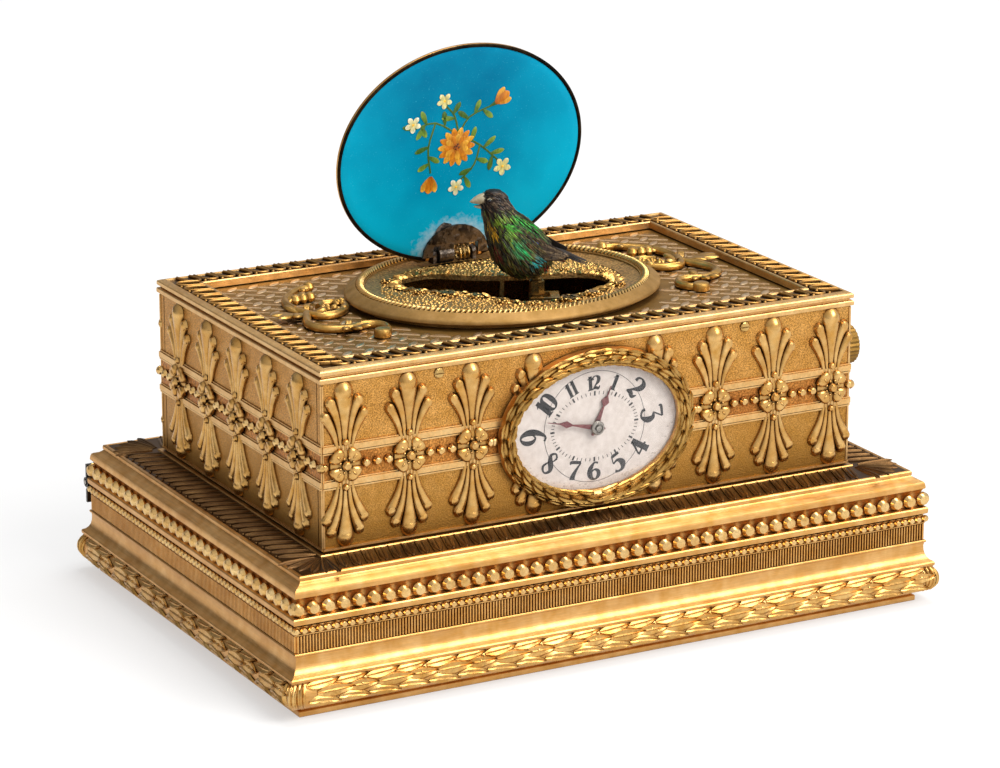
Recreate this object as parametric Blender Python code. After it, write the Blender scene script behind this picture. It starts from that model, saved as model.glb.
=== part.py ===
"""Singing-bird automaton clock: a gilt brass box on a moulded plinth, with an oval clock in its front.

An enamelled lid in the top opens and a feathered bird stands up through a pierced grille. The box lifts off
the lined compartment in the plinth on a long hinge at the back. Sizes are millimetres here and are written
to the meshes as metres. +X is the crown's side, +Y the back and +Z up. The origin is the centre of the foot.
"""

import math

import bmesh
import bpy
from mathutils import Matrix, Vector

MM = 0.001
GAP = 0.3  # between pieces that seat on each other
RUNNING = 0.25  # between a pin and its bore

# Case
CASE_LENGTH = 128.0
CASE_DEPTH = 81.2
PANEL_HEIGHT = 36.0
PANEL_WALL = 2.0
FRAME_HEIGHT = 2.15
FRAME_OVERHANG = 0.56
FRAME_WIDTH = 7.9
RECESS = 1.15  # from the frame's top down to the engraved plate
TOP_PLATE_WALL = 1.2
CASE_FLOOR_WALL = 1.2

# Plinth
BASE_HEIGHT = 20.05  # up to the seam
DECK_RISE = 9.15  # from the seam's top edge to the deck
RISER = 0.8  # the step that the box stands on
PLINTH_WALL = 3.2
BOTTOM_PLATE_WALL = 1.6
LINING_WALL = 1.2
LIFT_RANGE = 60.0

# Long hinge
HINGE_RADIUS = 1.15
HINGE_PIN_RADIUS = 0.5
HINGE_LEAF = 0.7
HINGE_LEAF_HEIGHT = 3.0
HINGE_KNUCKLES = 9

# Oval bezel, grille and lid
WELL_A, WELL_B = 31.2, 26.4
ROPE_WIDTH_A, ROPE_WIDTH_B = 1.3, 1.4
FLANGE_A, FLANGE_B = 3.5, 1.9
BEZEL_RISE = 4.25
GRILLE_WALL = 1.1
LID_CLEARANCE = 0.8
LID_WALL = 1.4
LID_DOME = 1.2
LID_OPEN = 81.0
LID_PIVOT_INSET = 1.7  # from the lid's back edge
LID_PIVOT_RISE = 3.8  # above the engraved plate
LUG_RADIUS = 2.1
SPRING_COIL = 1.85
SPRING_WIRE = 0.28
SPRING_TURNS = 3.0
HINGE_NOTCH = 2.6
LID_PIN_RADIUS = 0.5

# Clock
CLOCK_DROP = 0.1  # below the middle of the front
DIAL_A, DIAL_B = 19.4, 12.9
WREATH_WIDTH_A, WREATH_WIDTH_B = 4.0, 4.5
WREATH_RISE = 3.0
MOVEMENT_RADIUS = 12.4
MOVEMENT_DEPTH = 13.0
HAND_CLEARANCE = 0.7
HOUR_SHARE = 0.76  # of the minute hand
MINUTE_ANGLE = 283.0
HOUR_ANGLE = 23.6
CROWN_RADIUS = 4.5
CROWN_LENGTH = 3.4
CROWN_INSET = 5.7  # behind the front
CROWN_RISE = 7.8  # above the dial's centre
STEM_RADIUS = 0.7
STEM_END = 6.5  # inside the movement
SCREW_X = 37.0
SCREW_DROP = 1.2
START_Y = 8.0
START_RISE = 9.7
START_TRAVEL = 6.0
START_NECK = 1.6

# Bird
BIRD_TURN = -25.0  # the bird's own plane, about +Z
BIRD_SHIFT = 1.0  # across that plane
PIVOT_S = 7.4
PIVOT_DROP = 2.1  # below the engraved plate
SINK = 6.0
BLOCK_RADIUS = 1.75
FORK_GAP = 2.05
CARRIAGE_S = 11.4
STEM_HALF = 1.0
STEM_RISE = 8.2  # above the bedplate

# Bird movement
BEDPLATE_RISE = 1.8
BEDPLATE_WALL = 1.5
BRIDGE_RISE = 17.2  # above the bedplate
BRIDGE_WALL = 1.5
BARREL_X, BARREL_Y = 35.5, 17.0
DRUM_INSET = 3.0
MODULE = 0.6
GREAT_TEETH, CAM_PINION_TEETH, CAM_WHEEL_TEETH, FAN_PINION_TEETH = 50, 15, 40, 10
MESH_PLAY = 0.12
ARBOR_RADIUS = 1.1
FAN_ARBOR = 0.5
CAM_DIRECTION, FAN_DIRECTION = -60.0, -112.0
CAM_LIFT = 0.9
BELLOWS_X = (-54.0, -27.0)
BELLOWS_Y = (12.0, 34.0)
BELLOWS_RISE = 6.6
WHISTLE_X = (-52.0, -24.0)
WHISTLE_Y = -13.0
WHISTLE_RADIUS = 3.3

# Heights that follow
HALF_X = CASE_LENGTH / 2
HALF_Y = CASE_DEPTH / 2
SEAM_Z = BASE_HEIGHT + GAP
DECK_Z = SEAM_Z + DECK_RISE - GAP
RISER_Z = DECK_Z + RISER
PANEL_Z = RISER_Z + GAP
PANEL_TOP = PANEL_Z + PANEL_HEIGHT
FRAME_Z = PANEL_TOP + GAP
FRAME_TOP = FRAME_Z + FRAME_HEIGHT
RECESS_Z = FRAME_TOP - RECESS
BEZEL_Z = RECESS_Z + GAP
WALL_IN_X = HALF_X - PANEL_WALL - GAP
WALL_IN_Y = HALF_Y - PANEL_WALL - GAP
PLATE_INSET = 4.6  # the engraved plate's pocket in the frame
FLOOR_TOP = PANEL_Z + CASE_FLOOR_WALL
ROPE_A, ROPE_B = WELL_A + ROPE_WIDTH_A, WELL_B + ROPE_WIDTH_B
BEZEL_A, BEZEL_B = ROPE_A + FLANGE_A, ROPE_B + FLANGE_B
LID_A, LID_B = WELL_A - LID_CLEARANCE, WELL_B - LID_CLEARANCE
LID_PIVOT_Y = LID_B - LID_PIVOT_INSET
LID_PIVOT_Z = RECESS_Z + LID_PIVOT_RISE
CLOCK_Z = PANEL_Z + PANEL_HEIGHT / 2 - CLOCK_DROP
WREATH_A, WREATH_B = DIAL_A + WREATH_WIDTH_A, DIAL_B + WREATH_WIDTH_B
MINUTE_LENGTH = DIAL_B - HAND_CLEARANCE
HOUR_LENGTH = HOUR_SHARE * MINUTE_LENGTH
CROWN_Y = -HALF_Y + CROWN_INSET
CROWN_Z = CLOCK_Z + CROWN_RISE
SCREW_Z = PANEL_TOP - SCREW_DROP
START_Z = PANEL_Z + START_RISE
PIVOT_Z = RECESS_Z - PIVOT_DROP
BEDPLATE_Z = FLOOR_TOP + BEDPLATE_RISE
BEDPLATE_TOP = BEDPLATE_Z + BEDPLATE_WALL
BRIDGE_Z = BEDPLATE_TOP + BRIDGE_RISE
STEM_LOW = BEDPLATE_TOP + STEM_RISE
HINGE_Y = HALF_Y + 13.4 + GAP + HINGE_RADIUS
HINGE_Z = BASE_HEIGHT + GAP / 2
BARREL_RADIUS = MODULE * GREAT_TEETH / 2 - DRUM_INSET
CAM_DISTANCE = MODULE * (GREAT_TEETH + CAM_PINION_TEETH) / 2 + MESH_PLAY
FAN_DISTANCE = MODULE * (CAM_WHEEL_TEETH + FAN_PINION_TEETH) / 2 + MESH_PLAY
CAM_X = BARREL_X + CAM_DISTANCE * math.cos(math.radians(CAM_DIRECTION))
CAM_Y = BARREL_Y + CAM_DISTANCE * math.sin(math.radians(CAM_DIRECTION))
FAN_X = CAM_X + FAN_DISTANCE * math.cos(math.radians(FAN_DIRECTION))
FAN_Y = CAM_Y + FAN_DISTANCE * math.sin(math.radians(FAN_DIRECTION))
BARREL_AT = (BARREL_X, BARREL_Y, 0)
CAM_AT = (CAM_X, CAM_Y, 0)
FAN_AT = (FAN_X, FAN_Y, 0)
CLOCK_AT = (0, 0, CLOCK_Z)
CROWN_AT = (0, CROWN_Y, CROWN_Z)

# Finishes: colour, metallic, roughness
FINISHES = {
    "gilt brass": ((0.72, 0.47, 0.16), 1.0, 0.32),
    "matt gilding": ((0.66, 0.40, 0.15), 1.0, 0.48),
    "patinated brass": ((0.36, 0.25, 0.12), 1.0, 0.45),
    "brass": ((0.78, 0.60, 0.28), 1.0, 0.28),
    "grey steel": ((0.45, 0.44, 0.42), 1.0, 0.35),
    "blued steel": ((0.12, 0.09, 0.12), 1.0, 0.3),
    "blackened steel": ((0.05, 0.045, 0.04), 0.9, 0.4),
    "turquoise enamel": ((0.01, 0.42, 0.62), 0.0, 0.15),
    "white dial": ((0.86, 0.84, 0.78), 0.0, 0.5),
    "clear glass": ((0.9, 0.92, 0.93), 0.0, 0.05),
    "velvet": ((0.30, 0.03, 0.05), 0.0, 0.9),
    "leather": ((0.62, 0.50, 0.36), 0.0, 0.7),
    "green feathers": ((0.05, 0.16, 0.06), 0.2, 0.6),
    "dark feathers": ((0.06, 0.05, 0.05), 0.1, 0.7),
    "ivory": ((0.62, 0.56, 0.44), 0.0, 0.4),
}


def clear_scene():
    for obj in list(bpy.data.objects):
        bpy.data.objects.remove(obj, do_unlink=True)


def finish(name):
    material = bpy.data.materials.get(name)
    if material is None:
        colour, metallic, roughness = FINISHES[name]
        material = bpy.data.materials.new(name)
        material.use_nodes = True
        shader = material.node_tree.nodes["Principled BSDF"]
        shader.inputs["Base Color"].default_value = (*colour, 1)
        shader.inputs["Metallic"].default_value = metallic
        shader.inputs["Roughness"].default_value = roughness
    return material


def add(name, shape, coat=None, parent=None, smooth=True):
    """An object from a bmesh in millimetres. With no coat it is a cutter."""
    bmesh.ops.recalc_face_normals(shape, faces=shape.faces)
    bmesh.ops.scale(shape, vec=(MM, MM, MM), verts=shape.verts)
    mesh = bpy.data.meshes.new(name)
    shape.to_mesh(mesh)
    shape.free()
    obj = bpy.data.objects.new(name, mesh)
    bpy.context.scene.collection.objects.link(obj)
    obj.parent = parent
    if coat is None:
        obj.hide_render = True
        obj.display_type = "WIRE"
        return obj
    mesh.materials.append(finish(coat))
    if smooth:
        mesh.shade_smooth()
        mesh.set_sharp_from_angle(angle=math.radians(35))
    return obj


def combine(obj, other, operation):
    modifier = obj.modifiers.new(operation.lower(), "BOOLEAN")
    modifier.operation = operation
    modifier.object = other
    modifier.solver = "EXACT"
    return obj


def cut(obj, *shapes):
    for shape in shapes:
        combine(obj, add(obj.name + "_cutter", shape, parent=obj.parent), "DIFFERENCE")
    return obj


def join(obj, *shapes):
    for shape in shapes:
        combine(obj, add(obj.name + "_boss", shape, parent=obj.parent), "UNION")
    return obj


def empty(name, location=(0, 0, 0), rotation=(0, 0, 0), parent=None):
    holder = bpy.data.objects.new(name, None)
    bpy.context.scene.collection.objects.link(holder)
    holder.location = Vector(location) * MM
    holder.rotation_euler = [math.radians(angle) for angle in rotation]
    holder.parent = parent
    return holder


# Outlines


def rectangle(half_x, half_y):
    return [(-half_x, -half_y), (half_x, -half_y), (half_x, half_y), (-half_x, half_y)]


def oval(a, b, count=40, centre=(0, 0)):
    turns = [2 * math.pi * i / count for i in range(count)]
    return [(centre[0] + a * math.cos(t), centre[1] + b * math.sin(t)) for t in turns]


def arc(centre, radii, start, end, count=6):
    """Points on an elliptical arc, in degrees."""
    turns = [math.radians(start + (end - start) * i / count) for i in range(count + 1)]
    return [(centre[0] + radii[0] * math.cos(t), centre[1] + radii[1] * math.sin(t)) for t in turns]


def smooth_loop(points, steps=3):
    """A closed curve through the points."""
    curve = []
    for i in range(len(points)):
        p0, p1, p2, p3 = (Vector(points[(i + k) % len(points)]) for k in (-1, 0, 1, 2))
        for j in range(steps):
            t = j / steps
            curve.append(
                tuple(
                    0.5 * (2 * p1 + (p2 - p0) * t + (2 * p0 - 5 * p1 + 4 * p2 - p3) * t**2
                           + (3 * p1 - p0 - 3 * p2 + p3) * t**3)
                )
            )
    return curve


def ribbon(points, widths, steps=4):
    """The outline of a branch along an open curve, its width running from point to point."""
    line, half = [], []
    last = len(points) - 1
    for i in range(last):
        p0, p1, p2, p3 = (Vector(points[min(max(i + k, 0), last)]) for k in (-1, 0, 1, 2))
        for j in range(steps):
            t = j / steps
            line.append(0.5 * (2 * p1 + (p2 - p0) * t + (2 * p0 - 5 * p1 + 4 * p2 - p3) * t**2
                               + (3 * p1 - p0 - 3 * p2 + p3) * t**3))
            half.append((widths[i] * (1 - t) + widths[i + 1] * t) / 2)
    line.append(Vector(points[last]))
    half.append(widths[last] / 2)
    left, right = [], []
    for i, point in enumerate(line):
        along = (line[min(i + 1, len(line) - 1)] - line[max(i - 1, 0)]).normalized()
        across = Vector((-along.y, along.x)) * half[i]
        left.append(tuple(point + across))
        right.append(tuple(point - across))
    return left + right[::-1]


def gear_outline(teeth, module=MODULE, phase=0.0):
    """Straight-flanked teeth, thinned for backlash. Phase is in degrees."""
    pitch = module * teeth / 2
    root, tip = pitch - 1.2 * module, pitch + 0.9 * module
    step = 2 * math.pi / teeth
    outline = []
    for i in range(teeth):
        middle = i * step + math.radians(phase)
        for radius, share in ((root, -0.27), (tip, -0.11), (tip, 0.11), (root, 0.27)):
            turn = middle + share * step
            outline.append((radius * math.cos(turn), radius * math.sin(turn)))
    return outline


# Solids


def loft(rings, closed=False):
    """A skin over rings of points that have one count. Its ends are capped, or joined when it is closed."""
    shape = bmesh.new()
    rows = [[shape.verts.new(point) for point in ring] for ring in rings]
    count = len(rows[0])
    pairs = list(zip(rows, rows[1:]))
    if closed:
        pairs.append((rows[-1], rows[0]))
    else:
        shape.faces.new(rows[0])
        shape.faces.new(rows[-1])
    for low, high in pairs:
        for i in range(count):
            j = (i + 1) % count
            shape.faces.new((low[i], low[j], high[j], high[i]))
    return shape


def prism(outline, low, high, axis="Z", centre=(0, 0, 0)):
    """An outline carried along an axis. About X it lies in Y and Z, about Y in Z and X."""
    rings = [[(x, y, height) for x, y in outline] for height in (low, high)]
    return placed(loft(rings), axis, centre)


def placed(shape, axis, centre):
    turns = {
        "Z": Matrix.Identity(3),
        "X": Matrix(((0, 0, 1), (1, 0, 0), (0, 1, 0))),
        "Y": Matrix(((0, 1, 0), (0, 0, 1), (1, 0, 0))),
    }
    for vert in shape.verts:
        vert.co = turns[axis] @ vert.co + Vector(centre)
    return shape


def turned(profile, axis="Z", centre=(0, 0, 0), sides=20, twist=0.0):
    """A solid of revolution from (radius, height) pairs."""
    rings = []
    for radius, height in profile:
        ring = oval(radius, radius, sides)
        turn = Matrix.Rotation(math.radians(twist), 2)
        rings.append([(*(turn @ Vector(point)), height) for point in ring])
    return placed(loft(rings), axis, centre)


def block(x, y, z):
    """A box from (low, high) pairs."""
    return prism([(x[0], y[0]), (x[1], y[0]), (x[1], y[1]), (x[0], y[1])], z[0], z[1])


def moulding(profile, half_x, half_y):
    """A mitred frame: the profile's (projection, height) loop carried round a rectangle."""
    rings = [[(x, y, height) for x, y in rectangle(half_x + out, half_y + out)] for out, height in profile]
    return loft(rings, closed=True)


def oval_moulding(profile, count=40, axis="Z", centre=(0, 0, 0)):
    """An oval frame from a loop of (semi-axis, semi-axis, height)."""
    rings = [[(x, y, height) for x, y in oval(a, b, count)] for a, b, height in profile]
    return placed(loft(rings, closed=True), axis, centre)


# Plinth


def make_plinth():
    foot, hollow = 1.6, PLINTH_WALL
    cove = arc((14.0, BASE_HEIGHT - 6.25), (1.5, 3.7), 270, 182, 5)
    outer = [(11.4, 0), (11.4, foot), (12.6, 2.6)]
    outer += arc((12.6, 5.9), (3.2, 2.7), -80, 84, 7)
    outer += [(14.0, 8.8), (14.0, 10.0)]
    outer += cove[1:]
    outer += [(12.6, BASE_HEIGHT - 6.1), (12.6, BASE_HEIGHT - 2.3), (13.3, BASE_HEIGHT - 2.0)]
    outer += [(13.3, BASE_HEIGHT - 0.3), (13.0, BASE_HEIGHT)]
    step = BOTTOM_PLATE_WALL + GAP
    inner = [(13.0 - hollow, BASE_HEIGHT), (13.0 - hollow, step), (10.3, step), (10.3, 0)]
    add("plinth_moulding", moulding(outer + inner, HALF_X, HALF_Y), "gilt brass", smooth=False)
    plate_x, plate_y = HALF_X + 10.3 - GAP, HALF_Y + 10.3 - GAP
    plate = prism(rectangle(plate_x, plate_y), 0, BOTTOM_PLATE_WALL)
    add("bottom_plate", plate, "patinated brass", smooth=False)
    lining_x, lining_y = HALF_X + 13.0 - hollow - GAP, HALF_Y + 13.0 - hollow - GAP
    floor, rim = step, BASE_HEIGHT - 1.0
    tray = [(lining_x, lining_y, floor), (lining_x, lining_y, rim)]
    tray += [(lining_x - LINING_WALL, lining_y - LINING_WALL, z) for z in (rim, floor + LINING_WALL)]
    rings = [[(x, y, z) for x, y in rectangle(a, b)] for a, b, z in tray]
    add("compartment_lining", loft(rings), "velvet", smooth=False)


def make_upper_plinth():
    bead = arc((11.9, SEAM_Z + 3.5), (1.6, 1.9), -70, 70, 6)
    outer = [(12.9, SEAM_Z), (13.2, SEAM_Z + 1.0)] + bead
    outer += [(12.2, SEAM_Z + 5.9), (12.2, SEAM_Z + 7.0), (9.9, SEAM_Z + 7.7), (9.9, DECK_Z - 0.15)]
    outer += [(9.6, DECK_Z), (FRAME_OVERHANG, DECK_Z), (FRAME_OVERHANG, RISER_Z)]
    hatch, ceiling, wall = -12.0, DECK_Z - 2.4, 13.2 - PLINTH_WALL
    inner = [(hatch, RISER_Z), (hatch, ceiling), (wall - 1.4, ceiling), (wall, SEAM_Z)]
    add("upper_plinth", moulding(outer + inner, HALF_X, HALF_Y), "gilt brass", smooth=False)
    floor = prism(rectangle(WALL_IN_X, WALL_IN_Y), PANEL_Z, FLOOR_TOP)
    floor = add("case_floor", floor, "patinated brass", smooth=False)
    cut(floor, prism(oval(2.6, 2.6, 16, (BARREL_X, BARREL_Y)), PANEL_Z - 1, FLOOR_TOP + 1))


def make_long_hinge():
    length = CASE_LENGTH + 26.0
    pitch = length / HINGE_KNUCKLES
    leaf_y = (HINGE_Y - HINGE_RADIUS, HINGE_Y - HINGE_RADIUS + HINGE_LEAF)
    for name, first, side in (("lower_hinge_leaf", 0, -1), ("upper_hinge_leaf", 1, 1)):
        far = HINGE_Z + side * (HINGE_RADIUS + GAP + HINGE_LEAF_HEIGHT)
        near = HINGE_Z + side * (HINGE_RADIUS + GAP)
        leaf = add(
            name,
            block((-length / 2, length / 2), leaf_y, sorted((near, far))),
            "blackened steel",
            smooth=False,
        )
        for i in range(first, HINGE_KNUCKLES, 2):
            low, high = -length / 2 + i * pitch + GAP / 2, -length / 2 + (i + 1) * pitch - GAP / 2
            reach = sorted((HINGE_Z + side * 0.2, near + side * 0.4))
            join(leaf, block((low, high), leaf_y, reach))
            join(leaf, turned([(HINGE_RADIUS, low), (HINGE_RADIUS, high)], "X", (0, HINGE_Y, HINGE_Z), 12))
        bore = HINGE_PIN_RADIUS + RUNNING
        cut(leaf, turned([(bore, -length / 2 - 1), (bore, length / 2 + 1)], "X", (0, HINGE_Y, HINGE_Z), 12))
    pin = [(HINGE_PIN_RADIUS, -length / 2), (HINGE_PIN_RADIUS, length / 2)]
    add("long_hinge_pin", turned(pin, "X", (0, HINGE_Y, HINGE_Z), 12), "grey steel")


# Case


def make_panels():
    side_y = HALF_Y - PANEL_WALL - GAP
    front = add(
        "front_panel",
        block((-HALF_X, HALF_X), (-HALF_Y, -HALF_Y + PANEL_WALL), (PANEL_Z, PANEL_TOP)),
        "matt gilding",
        smooth=False,
    )
    hole = oval(DIAL_B + 0.4, DIAL_A + 0.4)
    cut(front, prism(hole, -HALF_Y - 1, -HALF_Y + PANEL_WALL + 1, "Y", CLOCK_AT))
    add(
        "back_panel",
        block((-HALF_X, HALF_X), (HALF_Y - PANEL_WALL, HALF_Y), (PANEL_Z, PANEL_TOP)),
        "matt gilding",
        smooth=False,
    )
    add(
        "left_panel",
        block((-HALF_X, -HALF_X + PANEL_WALL), (-side_y, side_y), (PANEL_Z, PANEL_TOP)),
        "matt gilding",
        smooth=False,
    )
    right = add(
        "right_panel",
        block((HALF_X - PANEL_WALL, HALF_X), (-side_y, side_y), (PANEL_Z, PANEL_TOP)),
        "matt gilding",
        smooth=False,
    )
    bore = STEM_RADIUS + GAP
    cut(right, turned([(bore, -4), (bore, 4)], "X", (HALF_X, CROWN_Y, CROWN_Z), 12))
    slot = (START_Y - START_TRAVEL / 2 - START_NECK, START_Y + START_TRAVEL / 2 + START_NECK)
    cut(right, block((HALF_X - 4, HALF_X + 4), slot, (START_Z - 1.0, START_Z + 1.0)))
    for side in (-1, 1):
        head_x = side * SCREW_X
        name = "left_panel_screw" if side < 0 else "right_panel_screw"
        seat = -HALF_Y - 0.05
        screw = [(0.9, seat - 0.45), (1.15, seat - 0.25), (1.15, seat), (0.6, seat), (0.6, -HALF_Y + 3.1)]
        body = add(name, turned(screw, "Y", (head_x, 0, SCREW_Z), 12), "brass")
        cut(body, block((head_x - 2, head_x + 2), (seat - 1, seat - 0.2), (SCREW_Z - 0.15, SCREW_Z + 0.15)))
        cut(front, turned([(0.8, -HALF_Y - 1), (0.8, -HALF_Y + 3)], "Y", (head_x, 0, SCREW_Z), 12))


def make_start_slide():
    inside = HALF_X - PANEL_WALL - GAP
    rest = START_Y - START_TRAVEL / 2
    slide = add(
        "start_slide",
        block((inside - 0.9, inside), (rest - 4.5, rest + 4.5), (START_Z - 2, START_Z + 2)),
        "brass",
        smooth=False,
    )
    neck = START_NECK - GAP
    across = (rest - neck, rest + neck)
    join(slide, block((inside - 0.5, HALF_X + 0.8), across, (START_Z - 0.7, START_Z + 0.7)))
    button = [(1.9, 0), (2.1, 0.5), (2.1, 1.4), (1.6, 1.9)]
    join(slide, turned(button, "X", (HALF_X + 0.4, rest, START_Z), 16))


def make_top():
    inner = -FRAME_WIDTH + FRAME_OVERHANG
    lip, out, skirt = RECESS_Z + GAP, FRAME_OVERHANG, FRAME_Z - 3.6
    profile = [(out, FRAME_Z), (out, FRAME_TOP - 0.6), (out - 0.35, FRAME_TOP - 0.1)]
    profile += [(out - 0.8, FRAME_TOP), (inner, FRAME_TOP), (inner, lip), (-PLATE_INSET, lip)]
    profile += [(-PLATE_INSET, FRAME_Z - 0.5), (-PANEL_WALL - 1.8, FRAME_Z - 1.2), (-PANEL_WALL - 1.8, skirt)]
    profile += [(-PANEL_WALL - GAP, skirt), (-PANEL_WALL - GAP, FRAME_Z)]
    frame = add("top_frame", moulding(profile, HALF_X, HALF_Y), "gilt brass", smooth=False)
    for side in (-1, 1):
        bore = turned([(0.8, -HALF_Y + 2), (0.8, -HALF_Y + 5)], "Y", (side * SCREW_X, 0, SCREW_Z), 12)
        cut(frame, bore)
    half_x, half_y = HALF_X - PLATE_INSET - GAP, HALF_Y - PLATE_INSET - GAP
    plate = add(
        "engraved_top_plate",
        prism(rectangle(half_x, half_y), RECESS_Z - TOP_PLATE_WALL, RECESS_Z),
        "patinated brass",
        smooth=False,
    )
    cut(plate, prism(oval(WELL_A - 3.0, WELL_B - 3.0), RECESS_Z - TOP_PLATE_WALL - 1, RECESS_Z + 1))


# Branches of the right-hand mount: points outward from the bezel's end and back, widths, and height
MOUNT_BRANCHES = [
    (
        [(0.0, 23.0), (3.6, 21.4), (7.2, 18.2), (10.2, 13.0), (11.8, 7.5), (12.0, 2.0)],
        [1.0, 2.8, 1.8, 2.4, 2.6, 3.8],
        2.4,
    ),
    (
        [(12.0, 3.0), (12.3, -3.5), (10.6, -9.3), (7.4, -13.0), (4.0, -14.4), (0.6, -18.6)],
        [3.8, 2.4, 2.8, 1.8, 3.4, 2.2],
        2.4,
    ),
    ([(11.0, 2.2), (15.0, 1.0), (18.6, -1.8)], [3.0, 4.6, 1.0], 1.9),
    ([(11.4, 3.4), (14.8, 5.8), (15.4, 9.4)], [2.6, 2.6, 0.9], 1.8),
    ([(11.4, 1.0), (7.6, -2.6), (4.4, -1.4), (3.8, 2.6), (6.4, 4.6)], [1.8, 2.2, 2.4, 2.4, 3.0], 2.2),
    ([(7.6, 17.4), (4.2, 15.4), (2.6, 16.8)], [1.8, 2.0, 1.2], 1.7),
]


def make_scroll_mounts():
    """Each is two round-topped branches about the bezel's end, with leaves and an inner scroll."""
    for side, name in ((-1, "left_scroll_mount"), (1, "right_scroll_mount")):
        branches = []
        for points, widths, tall in MOUNT_BRANCHES:
            path = [(side * (BEZEL_A + x), y) for x, y in points]
            rings = []
            for share, rise in ((1.0, 0.0), (0.92, 0.5), (0.45, 1.0)):
                level = RECESS_Z + GAP + tall * rise * 0.85
                rings.append([(x, y, level) for x, y in ribbon(path, [share * w for w in widths], 2)])
            branches.append(loft(rings))
        mount = add(name, branches[0], "gilt brass")
        join(mount, *branches[1:])


def make_bezel():
    top = RECESS_Z + BEZEL_RISE + GAP
    ease = 0.35
    profile = [(BEZEL_A - 0.7, BEZEL_B - 0.7, BEZEL_Z), (BEZEL_A, BEZEL_B, BEZEL_Z + 0.7)]
    profile += [(BEZEL_A, BEZEL_B, top - 2.2), (BEZEL_A - 0.9, BEZEL_B - 0.6, top - 1.5)]
    profile += [(ROPE_A + 0.5, ROPE_B + ease, top - 0.85), (ROPE_A, ROPE_B, top - 0.75)]
    profile += [(ROPE_A, ROPE_B, top - 0.3), (ROPE_A - ease, ROPE_B - ease, top)]
    profile += [(WELL_A + ease, WELL_B + ease, top), (WELL_A, WELL_B, top - ease), (WELL_A, WELL_B, BEZEL_Z)]
    add("oval_bezel", oval_moulding(profile), "gilt brass")


SLOT_OUTLINE = [
    # along the bird's plane and across it, from the left tip round the front
    (-23.0, 1.2), (-20.2, -2.6), (-15.0, -4.4), (-8.0, -6.6), (-2.4, -11.0), (2.6, -14.2), (9.6, -13.8),
    (15.0, -9.6), (19.6, -5.2), (23.6, 1.6), (21.8, 6.4), (17.4, 8.8), (8.0, 7.8), (-0.4, 7.0),
    (-8.0, 8.0), (-15.0, 9.8), (-21.0, 6.6),
]


def in_bird_plane(point, shift=0.0):
    """Local (along, across) to the box's x and y."""
    turn = math.radians(BIRD_TURN)
    s, t = point[0], point[1] + shift
    return (s * math.cos(turn) - t * math.sin(turn), s * math.sin(turn) + t * math.cos(turn))


def make_grille():
    rim_a, rim_b = WELL_A - GAP, WELL_B - GAP
    under, top = BEZEL_Z, BEZEL_Z + 0.4 + GRILLE_WALL
    sizes = [(rim_a - 1.8, rim_b - 1.8, top - GRILLE_WALL + 0.2), (rim_a - 1.8, rim_b - 1.8, under)]
    sizes += [(rim_a, rim_b, under), (rim_a, rim_b, top - 0.2), (rim_a - 3.0, rim_b - 2.6, top)]
    sizes += [(0.58 * WELL_A, 0.57 * WELL_B, top + 0.2)]
    rings = [[(x, y, z) for x, y in oval(a, b)] for a, b, z in sizes]
    grille = add("bird_grille", loft(rings), "matt gilding")
    through = (under - 1, top + 2)
    cut(grille, prism(smooth_loop([in_bird_plane(point) for point in SLOT_OUTLINE]), *through))
    cut(grille, block((-EAR_X - 4.6, EAR_X + 4.6), (LID_PIVOT_Y - HINGE_NOTCH, WELL_B + 1), through))


EAR_X = 5.4
LUG_SPAN = (-4.1, -0.5)
SPRING_SPAN = (0.4, 4.0)


def make_lid_hinge(lid_holder):
    foot = BEZEL_Z + 1.0
    bracket = add(
        "lid_hinge_bracket",
        block((-EAR_X - 2.6, EAR_X + 2.6), (LID_PIVOT_Y - 2.0, LID_PIVOT_Y + 1.2), (BEZEL_Z, foot)),
        "blackened steel",
    )
    for side in (-1, 1):
        low, high = sorted((side * (EAR_X - 0.9), side * EAR_X))
        join(bracket, block((low, high), (LID_PIVOT_Y - 1.2, LID_PIVOT_Y + 1.2), (foot - 0.4, LID_PIVOT_Z)))
        join(bracket, turned([(1.2, low), (1.2, high)], "X", (0, LID_PIVOT_Y, LID_PIVOT_Z), 12))
    bore = LID_PIN_RADIUS + RUNNING
    cut(bracket, turned([(bore, -EAR_X - 1), (bore, EAR_X + 1)], "X", (0, LID_PIVOT_Y, LID_PIVOT_Z), 12))
    pin = [(LID_PIN_RADIUS, -EAR_X), (LID_PIN_RADIUS, EAR_X)]
    add("lid_hinge_pin", turned(pin, "X", (0, LID_PIVOT_Y, LID_PIVOT_Z), 12), "brass")
    make_lid_spring()
    # The lug is drawn with the lid shut, about the pivot.
    tab_top = LID_UNDER - GAP
    outline = [(8.2 * math.cos(t), -7.2 * math.sin(t)) for t in (math.pi * i / 12 for i in range(13))]
    lug = add("lid_hinge_lug", prism(outline, tab_top - 0.5, tab_top), "blackened steel", lid_holder)
    join(lug, turned([(LUG_RADIUS, LUG_SPAN[0]), (LUG_RADIUS, LUG_SPAN[1])], "X", (0, 0, 0), 16))
    bore = LID_PIN_RADIUS + RUNNING
    cut(
        lug,
        block((LUG_SPAN[1] + 0.02, EAR_X + GAP), (-HINGE_NOTCH, 1), (tab_top - 2, tab_top + 2)),
        block((-EAR_X - GAP, LUG_SPAN[0] - 0.02), (-HINGE_NOTCH, 1), (tab_top - 2, tab_top + 2)),
        turned([(bore, LUG_SPAN[0] - 1), (bore, LUG_SPAN[1] + 1)], "X", (0, 0, 0), 12),
    )


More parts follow.
